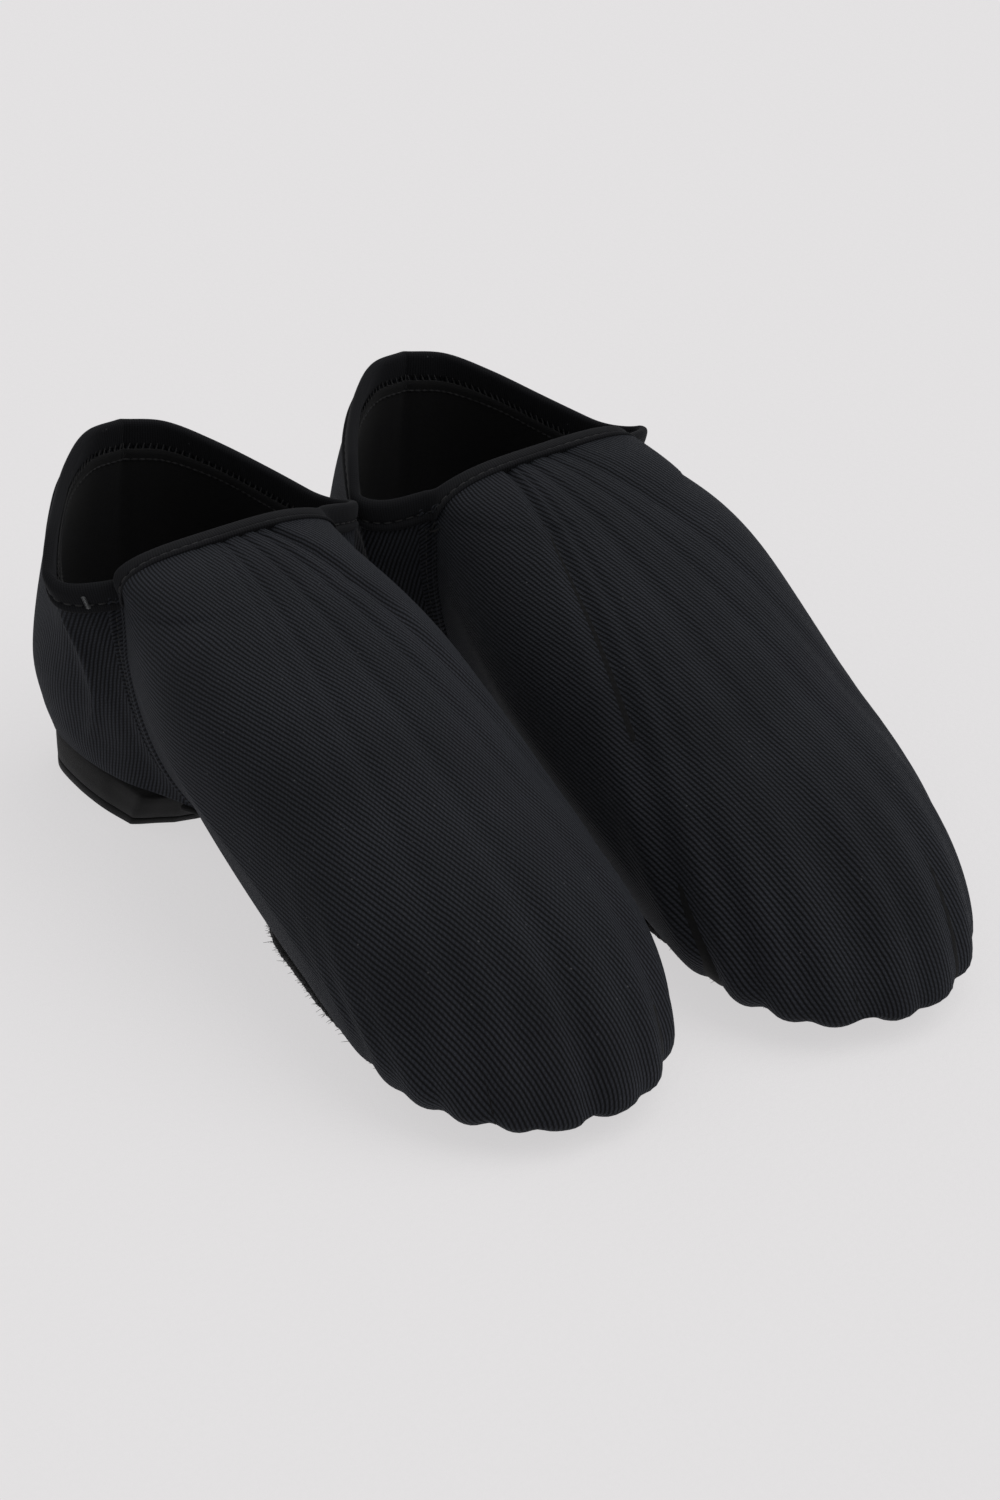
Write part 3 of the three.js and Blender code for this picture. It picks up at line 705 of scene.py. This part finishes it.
# ======== relief in the canvas ========
NU, NL, NV = 76, 44, 130         # rows above and below the widest line, steps from seam to toe
FORWARD = np.array([0, -0.93, -0.36])
DOWN = np.array([0, 0, -1.0])
WAVE_TURN = (0.02, 0.10)         # the slowest and fastest wave, in radians per point of the grid
PUFF = 2.5                       # how far the toe stands out over its gathers
PUFF_ENDS = (40, 62)             # from the middle of the toe along the edge, full and nothing

# Gathers where the toe is drawn in under the foot, as (distance along the bottom edge from the
# middle of the toe, outer side negative, depth, half width, height above which they fade), in mm.
GATHERS = {
    "right": [(-47, 1.1, 3.0, 0.25), (-37, 0.8, 2.2, 0.25), (-27, 1.6, 2.6, 0.35), (-17, 1.9, 2.4, 0.6),
              (-9, 1.0, 1.8, 0.3), (1, 2.1, 2.4, 0.45), (10, 1.0, 1.8, 0.3), (19, 1.9, 2.6, 0.5),
              (30, 1.2, 2.2, 0.35), (41, 2.4, 3.4, 0.9)],
    "left": [(-45, 1.1, 2.6, 0.3), (-34, 1.8, 3.0, 0.7), (-24, 1.1, 2.2, 0.35), (-14, 2.0, 2.4, 0.4),
             (-4, 1.1, 2.0, 0.3), (6, 2.2, 2.8, 0.5), (16, 1.1, 2.0, 0.3), (26, 1.9, 2.6, 0.5),
             (39, 2.6, 3.6, 1.0)],
}


def edge_distance(grid):
    """Distance of each column along the bottom edge from the middle of the toe."""
    run = run_of(grid[-1])
    return run - run[len(run) // 2]


def seed_of(part, side):
    return SEEDS[part] + SIDES.index(side)


def waves(shape, count, seed):
    """A few slow waves over a grid, for cloth that never lies quite smooth."""
    r = np.random.default_rng(seed)
    k, j = np.meshgrid(np.arange(shape[0]), np.arange(shape[1]), indexing="ij")
    out = np.zeros(shape)
    for _ in range(count):
        down, across = r.uniform(*WAVE_TURN), r.uniform(*WAVE_TURN) * r.choice([-1, 1])
        out += np.sin(down * k + across * j + r.uniform(0, 2 * math.pi))
    return out / math.sqrt(count)


def away_from_seams(nj, none, full):
    """0 on the first and last columns of a grid, 1 where they are at least full steps away."""
    j = np.arange(nj)
    return smooth(np.minimum(j, nj - 1 - j), none, full)[None, :]


def vamp_relief(grid, normals, side):
    """The canvas front with its gathers, its full toe and slow waves."""
    nk, nj = grid.shape[:2]
    k = np.arange(nk)[:, None]
    a = edge_distance(grid)[None, :]
    low = np.clip((k - NU) / NL, 0, 1)
    out = 0.10 * waves((nk, nj), 7, seed_of("front", side)) * smooth(k, 4, 16) * away_from_seams(nj, 3, 14)
    round_toe = np.sin(np.clip((k - NU * 0.86) / (NL * 0.85 + NU * 0.14), 0, 1) * math.pi) ** 1.2
    out = out + PUFF * round_toe * smooth(-np.abs(a), -PUFF_ENDS[1], -PUFF_ENDS[0])
    for centre, depth, width, reach in GATHERS[side]:
        rise = smooth(low, -reach, 0.55)
        out = out - depth * rise * np.exp(-((a - centre) / (width * lerp(1.8, 1.0, low))) ** 2)
    return grid + normals * out[..., None]


# ======== pieces ========
def vamp_grid():
    """The front from the throat to the bottom edge, with its creases smoothed out: down over the
    widest line, then across over the top of the foot, away from both edges."""
    g = across_front(vamp_side(SHAPE["lat"], NU, NL, NV), vamp_side(SHAPE["med"], NU, NL, NV))
    g = soften(g, 26, NU - 22, NU + NL)
    smoother = soften(g.transpose(1, 0, 2), 70).transpose(1, 0, 2)
    k = np.arange(NU + NL + 1)
    share = smooth(k, 2, 14) * (1 - smooth(k, NU + NL - 16, NU + NL - 4))
    return lerp(g, smoother, share[:, None, None])


def quarter_grid():
    """The back from the topline to the bottom edge."""
    return across_back(quarter_side(SHAPE["lat"], 96), quarter_side(SHAPE["med"], 96))


def canvas(name, side, grid, direction, angle, node):
    """A shell of twill under a grid, its ribs at an angle to a direction."""
    n = normals_of(grid)
    across, along = flat_cloth(grid, n, direction, angle)
    cloth = np.stack([across, along, 0 * across], -1).reshape(-1, 3)
    points, faces = shell(grid, n, 0, CANVAS)
    add_mesh(name, side, points, faces, MATERIALS["twill"], [node], np.concatenate([cloth, cloth]))


def canvas_front(side, grid):
    g = turned_in(trim_top(grid, CANVAS_DROP), 7)
    g = vamp_relief(g, normals_of(g), side)
    canvas("vamp_cloth", side, g, FORWARD, VAMP_RIB_ANGLE[side], "vamp_canvas")


# The soft fold that runs down from the outer corner of the topline, as (t, height).
FOLD_T = through([20, 28, 35, 45, 55, 64, 80], [43, 47, 51, 54, 54.5, 53.5, 50])


def quarter_relief(grid, normals, side):
    """The canvas back with the fold under its front corner and slow waves."""
    t, z = -grid[..., 1], grid[..., 2]
    off = t - FOLD_T(z)
    fold = 0.9 * np.exp(-(off / 1.5) ** 2) - 0.5 * np.exp(-((off + 4.5) / 2.8) ** 2)
    fold = fold * smooth(z, 16, 34) * (1 - 0.35 * smooth(z, 60, 80))
    nk, nj = grid.shape[:2]
    rows = smooth(np.arange(nk), 3, 14)[:, None]
    out = fold + 0.14 * waves((nk, nj), 6, seed_of("back", side))
    return grid + normals * (out * away_from_seams(nj, 2, 10) * rows)[..., None]


def canvas_back(side, grid):
    g = trim_top(grid, CANVAS_DROP)
    g = quarter_relief(g, normals_of(g), side)
    canvas("quarter_cloth", side, g, DOWN, QUARTER_RIB_ANGLE[side], "quarter_canvas")


def lining(name, side, grid, kept, depth, node):
    """A thin lining at a depth under the kept part of a grid."""
    n = normals_of(grid)
    points, faces = shell(grid[kept], n[kept], depth, depth + LINING)
    add_mesh(name, side, points, faces, MATERIALS["lining"], [node])


def linings(side, front, back):
    g = trim_top(front, LINING_DROP)
    g = vamp_relief(g, normals_of(g), side)[::2, ::2]
    lining("front_lining", side, g, np.s_[:-2], CANVAS + GAP, "vamp_lining")
    g = trim_top(back[::2, ::2], LINING_DROP)
    lining("back_lining", side, g, np.s_[:-3, 1:-1], CANVAS + 2 * GAP + COUNTER, "quarter_lining")


# The tape's section: distance in from the outer canvas face, and distance down from its top edge.
TAPE_SECTION = [(-0.42, 4.9), (-0.52, 3.6), (-0.5, 2.2), (-0.3, 1.1), (0.15, 0.4), (0.8, 0.06), (1.5, 0.0),
                (2.1, 0.25), (2.5, 0.9), (2.62, 2.0), (2.6, 4.0), (2.55, 6.0), (2.5, 7.2), (2.2, 7.4),
                (1.2, 7.45), (0.2, 7.9), (-0.45, 8.05), (-0.85, 7.65), (-0.98, 7.0), (-0.8, 6.35),
                (-0.35, 6.0), (0.0, 5.75), (0.02, 5.5), (-0.25, 5.25)]
STITCH_DEPTH = 5.6
LOOP_STEPS = np.array([0, 0.9, 1.8])     # along the topline, the three points of an overlock loop
TACK = (57.5, 42, 80)                    # the outer corner of the opening, as (t, m, z)


def topline(front, back, n=640):
    """The topline as n points, the directions down the cloth and in toward the foot, and the
    distance along it."""
    front_down = unit(front[8] - front[0])
    back_down = unit(back[8] - back[0])[::-1]
    line = np.concatenate([front[0][:-1], back[0][::-1][:-1], front[0][:1]])
    down = np.concatenate([front_down[:-1], back_down[:-1], front_down[:1]])
    run = run_of(line)
    s = np.linspace(0, run[-1], n, endpoint=False)
    p, d = round_off(sampled(line, run, s), 3), unit(round_off(sampled(down, run, s), 10))
    inward = unit(np.cross(forward_of(p), d))
    towards = np.stack([0 * s, 0 * s - 34, p[:, 2]], -1) - p
    inward *= np.sign(np.sum(towards * inward))
    return p, d, inward, s


def forward_of(ring):
    """The direction along a closed ring at each of its points."""
    return unit(np.roll(ring, -1, 0) - np.roll(ring, 1, 0))


def round_off(ring, rounds):
    """A closed ring of points smoothed along itself."""
    for _ in range(rounds):
        ring = 0.5 * ring + 0.25 * (np.roll(ring, 1, 0) + np.roll(ring, -1, 0))
    return ring


def tape_points(p, d, inward, where):
    """Points at (distance in, distance down) pairs along the topline."""
    where = np.asarray(where, float)
    return p[:, None] + inward[:, None] * where[None, :, :1] + d[:, None] * where[None, :, 1:]


def topline_tape(side, edge):
    """The folded tape, its lower edge wandering a little."""
    p, d, inward, s = edge
    section = dense(np.array(TAPE_SECTION + TAPE_SECTION[:1]), 2)[:-1]
    rings = tape_points(p, d, inward, section)
    sag = 0.16 * np.sin(s / 9.0) + 0.12 * np.sin(s / 3.7 + 1)
    lower = smooth(section[:, 1], 4.5, 7.5)[None, :] * (section[:, 0] < 1)[None, :]
    rings = rings + (d * sag[:, None])[:, None] * lower[..., None]
    cloth = np.stack(np.broadcast_arrays(s[:, None], run_of(section)[None, :], 0.0), -1)
    points, faces = hoop(rings)
    add_mesh("topline_tape", side, points, faces, MATERIALS["tape"], ["topline_binding"],
             cloth.reshape(-1, 3))


def stitch_row(line, out, start, end, pitch, length):
    """Short threads lying along a line; they dip into it at both ends."""
    stitches = []
    run = run_of(line)
    for s in np.arange(start, end - length, pitch):
        at = s + length * np.array([0, 0.12, 0.5, 0.88, 1.0])
        lift = sampled(out, run, at) * np.array([-0.25, 0.05, 0.12, 0.05, -0.25])[:, None]
        stitches.append(sampled(line, run, at) + lift)
    return stitches


def topline_stitches(side, edge):
    p, d, inward, _ = edge
    line = p + d * STITCH_DEPTH + inward * -0.1
    row = stitch_row(line, -inward, 2, run_of(line)[-1], 3.1, 2.2)
    threads("topline_stitches", side, row, 0.24, "thread")


def overlock(side, edge):
    """The looped edge of the facing, just inside the topline."""
    p, d, inward, _ = edge
    run = run_of(p)
    lines = []
    for i, at in enumerate(np.arange(0, run[-1] - 2, 1.9)):
        base, down, into = (sampled(v, run, at + LOOP_STEPS) for v in (p, d, inward))
        depth = np.array([6.6, 9.2, 11.2 + 0.4 * math.sin(i * 1.7)])
        lines.append(base + down * depth[:, None] + into * np.array([2.75, 3.1, 3.3])[:, None])
        lines.append(base + down * 11.3 + into * np.array([3.4, 3.55, 3.4])[:, None])
    threads("facing_overlock", side, lines, 0.33, "facing_thread")


def bar_tack(side, edge):
    """A close zigzag that locks the ends of the tape at the outer corner."""
    p, d, inward, _ = edge
    corner = np.argmin(np.linalg.norm(p - signed(np.array(TACK), -1), axis=1))
    steps = np.arange(26)
    zigzag = np.where(steps % 2 == 0, -0.55, 0.55)
    line = (p[corner] + np.outer(2.3 + steps * 0.16, d[corner]) + np.outer(zigzag, forward_of(p)[corner])
            - inward[corner] * 0.72)
    threads("bar_tack", side, [dense(line, 2)], 0.16, "tack_thread")


# ======== bottom ========
def half_line(knots, n):
    """Half of an outline through (t, m) knots, in n equal steps."""
    return even(dense(np.array(knots, float)), n)


def joined(lat, med):
    """A closed outline from its outer and inner halves, each (t, m) from the back to the front."""
    return np.concatenate([np.stack([-lat[:, 1], -lat[:, 0]], -1),
                           np.stack([med[:, 1], -med[:, 0]], -1)[-2:0:-1]])


def outline(knots, n, knots_inside=None):
    """A closed outline, both sides alike unless the inner one has knots of its own."""
    return joined(half_line(knots, n), half_line(knots_inside or knots, n))


def inset(loop, d):
    """A closed outline moved inward by d."""
    step = np.roll(loop, -1, 0) - np.roll(loop, 1, 0)
    n = unit(np.stack([-step[:, 1], step[:, 0]], -1))
    area = np.sum(loop[:, 0] * np.roll(loop[:, 1], -1) - loop[:, 1] * np.roll(loop[:, 0], -1))
    return loop + n * d * np.sign(area)


def solid(name, side, rows, material, replaces):
    """A solid from a stack of outlines, closed top and bottom."""
    grid = np.array(rows)
    nk, nj = grid.shape[:2]
    points = grid.reshape(-1, 3)
    around = quads(nk, nj, wrap=True)
    bottom, top = list(range(nj)), list(range((nk - 1) * nj, nk * nj))
    faces = around.tolist() + [bottom, top[::-1]]
    if volume_of(points, around) < 0:
        faces = [face[::-1] for face in faces]
    return add_mesh(name, side, points, faces, material, replaces)


def lifted(loop, z):
    """An outline at one height, or at a height for each of its points."""
    return np.column_stack([loop, np.broadcast_to(z, len(loop))])


def over_floor(loop, z):
    """An outline at a height above the line along which the bottom of the foot rises."""
    return lifted(loop, FLOOR(-loop[:, 1]) + z)


def pillow(loop, low, high, edge, steps=3, crown=0.0):
    """Rows for a plate with rounded edges that closes inward at top and bottom; crown lifts its
    middle."""
    rows = [over_floor(inset(loop, edge * (1 - math.cos(a))), lerp(low, high, (1 + math.sin(a)) / 2))
            for a in np.linspace(-math.pi / 2, math.pi / 2, 2 * steps + 1)]
    centre = loop.mean(0)
    inner = inset(loop, edge)
    fills = (0.12, 0.3, 0.5, 0.7, 0.88, 0.97)
    under = [over_floor(lerp(inner, centre, f), low) for f in fills]
    over = [over_floor(lerp(inner, centre, f), high + crown * math.sin(f * math.pi / 2)) for f in fills]
    return under[::-1] + rows + over


SOLE_H = 1.9
CAP_H = 2.7
BLOCK_TOP = 12.5
HEEL_LEAN = 0.66                 # how far forward its front face leans, for each mm of height
FIBRES = 900


def heel_outline():
    side = half_line([[5, 0], [5.3, 12], [8.3, 21.5], [15, 27], [28, 28.3], [42, 27.5], [54, 25]], 60)
    breast = np.array([[55.2, 22.5], [56.6, 18.5], [58.5, 14], [59.5, 7.5], [60, 0]])
    half = even(np.concatenate([side, breast]), 110)
    return joined(half, half)


def heel_row(loop, z, grow):
    """The heel's outline at a height: its front face leans forward as it rises."""
    loop = inset(loop, -grow)
    x, y = loop[:, 0], loop[:, 1]
    front_lean = smooth(-y, 46, 56) * HEEL_LEAN * z
    back_lean = (1 - smooth(-y, 8, 30)) * 0.06 * z
    return lifted(np.column_stack([x * (1 + 0.0016 * z), y - front_lean + back_lean]), z)


def heel(side):
    loop = heel_outline()
    mid = loop.mean(0)

    def closed_rows(levels):
        first, last = levels[0], levels[-1]
        fills = (0.97, 0.8, 0.55, 0.3, 0.1)
        low = [lerp(heel_row(loop, first[0], first[1]), [*mid, first[0]], f) for f in fills]
        high = [lerp(heel_row(loop, last[0], last[1]), [*mid, last[0]], f) for f in fills[::-1]]
        return low + [heel_row(loop, z, grow) for z, grow in levels] + high

    block = [(CAP_H + 0.05, -0.5), (CAP_H + 0.2, -0.15), (CAP_H + 0.5, 0), (6, 0.05), (9, 0.05), (11.5, 0.0),
             (12.2, -0.2), (BLOCK_TOP, -0.7)]
    cap = [(0, -0.35), (0.12, -0.1), (0.35, 0.05), (1.4, 0.08), (2.3, 0.05), (2.55, -0.1), (CAP_H, -0.4)]
    solid("heel_block_suede", side, closed_rows(block), MATERIALS["heel"], ["heel_block"])
    solid("heel_lift", side, closed_rows(cap), MATERIALS["heel"], ["heel_cap"])


def sole_knots(q):
    """Half of the outline of the suede patch, just outside the edge of the upper."""
    return [[112, 0], [113, 10], [116, 16], [128, 21.5], *[[p[0], p[1] + 0.6] for p in q["feather"][5:8]],
            [220, 21.5], [230, 14], [234.5, 6], [SOLE_FRONT_T, 0]]


def forefoot_sole(side):
    """The suede patch, its raw edge ragged and fraying."""
    loop = outline(sole_knots(SHAPE["lat"]), 210, sole_knots(SHAPE["med"]))
    out = unit(loop - inset(loop, 1))
    r = np.random.default_rng(seed_of("sole", side))
    ragged = r.normal(0, 0.16, len(loop))
    ragged = 0.6 * ragged + 0.4 * np.roll(ragged, 1)
    rows = []
    for z, d in [(0.0, 0.5), (0.15, 0.15), (0.6, 0.0), (1.2, 0.05), (1.7, 0.15), (SOLE_H, 0.45)]:
        push = out * (ragged + r.normal(0, 0.05, len(loop)))[:, None]
        rows.append(lifted(inset(loop, d) + push, z))
    centre = loop.mean(0)
    fills = (0.02, 0.06, 0.15, 0.4, 0.7, 0.96)
    under = [lifted(lerp(rows[0][:, :2], centre, f), 0.0) for f in fills]
    over = [lifted(lerp(rows[-1][:, :2], centre, f), SOLE_H) for f in fills]
    solid("sole_patch", side, under[::-1] + rows + over, MATERIALS["suede"], ["forefoot_sole"])
    fray(side, loop, out, r)


def fray(side, loop, out, r):
    """Loose fibres along the raw edge of the suede patch."""
    lines = []
    for _ in range(FIBRES):
        i = r.integers(len(loop))
        start = np.array([*(loop[i] - out[i] * 0.3), r.uniform(0.3, SOLE_H - 0.1)])
        reach = abs(r.normal(0, 0.7)) + 0.25
        bend = np.array([*(out[i] + r.normal(0, 0.6, 2)), r.normal(0.1, 0.5)])
        end = start + np.array([*out[i], 0]) * 0.3 + bend * reach * 0.75
        end[2] = max(end[2], 0.15)
        lines.append([start, lerp(start, end, 0.55) + [0, 0, 0.12], end])
    threads("sole_fray", side, lines, 0.075, "suede", 3)


def arch_cloth(side):
    arch = [[70, 0], [70.2, 12], [71.2, 19], [75, 17.2], [80, 14], [90, 11.5], [101, 12], [107, 12.2],
            [109.3, 9], [109.8, 0]]
    rows = pillow(outline(arch, 70), -1.9, -0.7, 0.5)
    solid("arch_cloth", side, rows, MATERIALS["sock"], ["arch_panel"])


def heel_cushion(side):
    pad = [[13, 0], [14, 9], [18, 16], [28, 19.5], [44, 19], [58, 15], [66, 9], [68, 0]]
    rows = pillow(outline(pad, 60), 4.2, 6.2, 1.3, 5, 0.8)
    ob = solid("heel_cushion", side, rows, MATERIALS["pad"], ["heel_pad"])


def sock_board(side):
    """The insole, inside the bottom edge of the upper all round."""
    back = [[3.5, 0], [4.5, 13], [8.5, 23], [17, 29], [36, 30], [54, 27], [66, 21]]
    lat, med = (back + [p[:2] for p in SHAPE[part]["feather"]] for part in ("lat", "med"))
    rows = pillow(inset(outline(lat, 120, med), 5.6), 2.35, 3.85, 0.6)
    solid("sock_board", side, rows, MATERIALS["sock"], ["insole"])


# ======== side seams ========
SEAM_ROWS = (-1.7, 2.5)          # the two rows of stitching, measured from the seam toward the toe
SEAM_HALF = 3.9
SEAM_T = 0.5
SEAM_STEPS = 150
SEAM_KEPT = slice(8, 140)        # from under the tape to the bottom edge


def seam_strip(name, side, edge, ahead, behind, n, node):
    """A raised strip of folded canvas, drawn down along two rows of stitches."""
    w = np.linspace(-SEAM_HALF, SEAM_HALF, 40)
    lift = 0.75 * smooth(w, -SEAM_HALF, -2.7) * (1 - smooth(w, 2.9, SEAM_HALF)) - 0.05
    for row in SEAM_ROWS:
        lift = lift - 0.42 * np.exp(-((w - row) / 0.42) ** 2)
    across = (np.clip(w, 0, None)[None, :, None] * ahead[:, None]
              + np.clip(-w, 0, None)[None, :, None] * behind[:, None])
    grid = edge[:, None] + across + n[:, None] * lift[None, :, None]
    run = run_of(edge)[SEAM_KEPT, None]
    cloth = np.stack(np.broadcast_arrays(w * 0.5 + run * 0.9, run * 0.5 - w, 0.0), -1).reshape(-1, 3)
    points, faces = shell(grid[SEAM_KEPT], np.repeat(n[SEAM_KEPT, None], len(w), 1), 0, SEAM_T)
    add_mesh(name, side, points, faces, MATERIALS["twill"], [node], np.concatenate([cloth, cloth]))


def side_seam(side, front, back, outer):
    """A lapped seam with its two rows of stitches."""
    name, node = ("outer_seam", "lateral_seam") if outer else ("inner_seam", "medial_seam")
    edge = even(front[:, 0 if outer else -1], SEAM_STEPS)
    ahead = unit(even(front[:, 6 if outer else -7], SEAM_STEPS) - edge)
    behind = unit(even(back[:, 3 if outer else -4], SEAM_STEPS) - edge)
    n = unit(np.cross(ahead - behind, np.gradient(edge, axis=0)))
    n *= np.where(np.sum((edge - INSIDE) * n) < 0, -1, 1)
    seam_strip(name, side, edge, ahead, behind, n, node)
    lines = []
    for row in SEAM_ROWS:
        base = edge + (ahead if row > 0 else behind) * abs(row) + n * 0.18
        lines += stitch_row(base, n, 10, run_of(base)[-1] - 6, 2.6, 1.9)
    threads(name + "_stitches", side, lines, 0.2, "thread")


# ======== the whole ========
def slipper(side):
    """All the pieces of one slipper; the counter and the filler inside keep their frame meshes."""
    front, back = vamp_grid(), quarter_grid()
    canvas_front(side, front)
    canvas_back(side, back)
    linings(side, front, back)
    edge = topline(front, back)
    for make in (topline_tape, topline_stitches, overlock, bar_tack):
        make(side, edge)
    for outer in (True, False):
        side_seam(side, front, back, outer)
    for make in (heel, forefoot_sole, arch_cloth, heel_cushion, sock_board):
        make(side)
    for node, material in (("heel_counter", "board"), ("bottom_filler", "felt")):
        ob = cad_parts[side + "_" + node]
        ob.data.materials.clear()
        ob.data.materials.append(MATERIALS[material])


# ======== studio ========
VIEW_AZIMUTH, VIEW_ELEVATION, VIEW_ROLL = math.radians(-30.85), math.radians(28.69), math.radians(1.4)
VIEW_DISTANCE = 1.3182
VIEW_POINT = Vector((-0.04567, -0.00350, 0.040))
OFF_CENTRE = (0.0300, 0.0070)
LENS = 121.5
FLOOR_HALF = 8.0
FLOOR_GLOW = 0.60
SKY_STRENGTH = 0.62
SUN_STRENGTH = 1.25
SUN_WIDTH = math.radians(70)
SUN_TURN = [math.radians(angle) for angle in (30, 0, 62)]


def camera():
    """A long lens from above the toes, rolled a little."""
    a, e = VIEW_AZIMUTH, VIEW_ELEVATION
    back = Vector((math.sin(a) * math.cos(e), -math.cos(a) * math.cos(e), math.sin(e)))
    right = Vector((math.cos(a), math.sin(a), 0))
    up = back.cross(right)
    right, up = (right * math.cos(VIEW_ROLL) + up * math.sin(VIEW_ROLL),
                 up * math.cos(VIEW_ROLL) - right * math.sin(VIEW_ROLL))
    data = bpy.data.cameras.new("camera")
    data.lens = LENS
    data.clip_end = 20
    ob = new_object("camera", data)
    forward = (-back + right * OFF_CENTRE[0] + up * OFF_CENTRE[1]).normalized()
    upright = (up - forward * up.dot(forward)).normalized()
    axes = Matrix((forward.cross(upright), upright, -forward)).transposed()
    ob.matrix_world = Matrix.Translation(VIEW_POINT + back * VIEW_DISTANCE) @ axes.to_4x4()
    bpy.context.scene.camera = ob


def floor():
    """Pale paper that glows a little, so that shadows stay faint."""
    r = FLOOR_HALF
    me = bpy.data.meshes.new("floor")
    me.from_pydata([(-r, -r, 0), (r, -r, 0), (r, r, 0), (-r, r, 0)], [], [(0, 1, 2, 3)])
    ob = new_object("floor", me)
    n = Nodes("pale_paper", roughness=0.9, specular=0.2)
    grain = n.noise(n.place(), 0.5, 4.0, 0.6)
    n.shader.inputs["Emission Color"].default_value = (1.0, 0.982, 0.991, 1)
    n.shader.inputs["Emission Strength"].default_value = FLOOR_GLOW
    paper = n.blend(grain, (0.155, 0.152, 0.153), (0.175, 0.172, 0.173))
    me.materials.append(n.finish(paper, grain, 0.25))


def lights():
    """Even white light all round and one very wide soft sun."""
    world = bpy.data.worlds.new("studio")
    world.use_nodes = True
    sky = world.node_tree.nodes["Background"]
    sky.inputs["Color"].default_value = (1, 1, 1, 1)
    sky.inputs["Strength"].default_value = SKY_STRENGTH
    bpy.context.scene.world = world
    data = bpy.data.lights.new("key", "SUN")
    data.energy = SUN_STRENGTH
    data.angle = SUN_WIDTH
    new_object("key", data).rotation_euler = SUN_TURN
    bpy.context.scene.view_settings.view_transform = "Standard"


camera()
for side in SIDES:
    slipper(side)
floor()
lights()
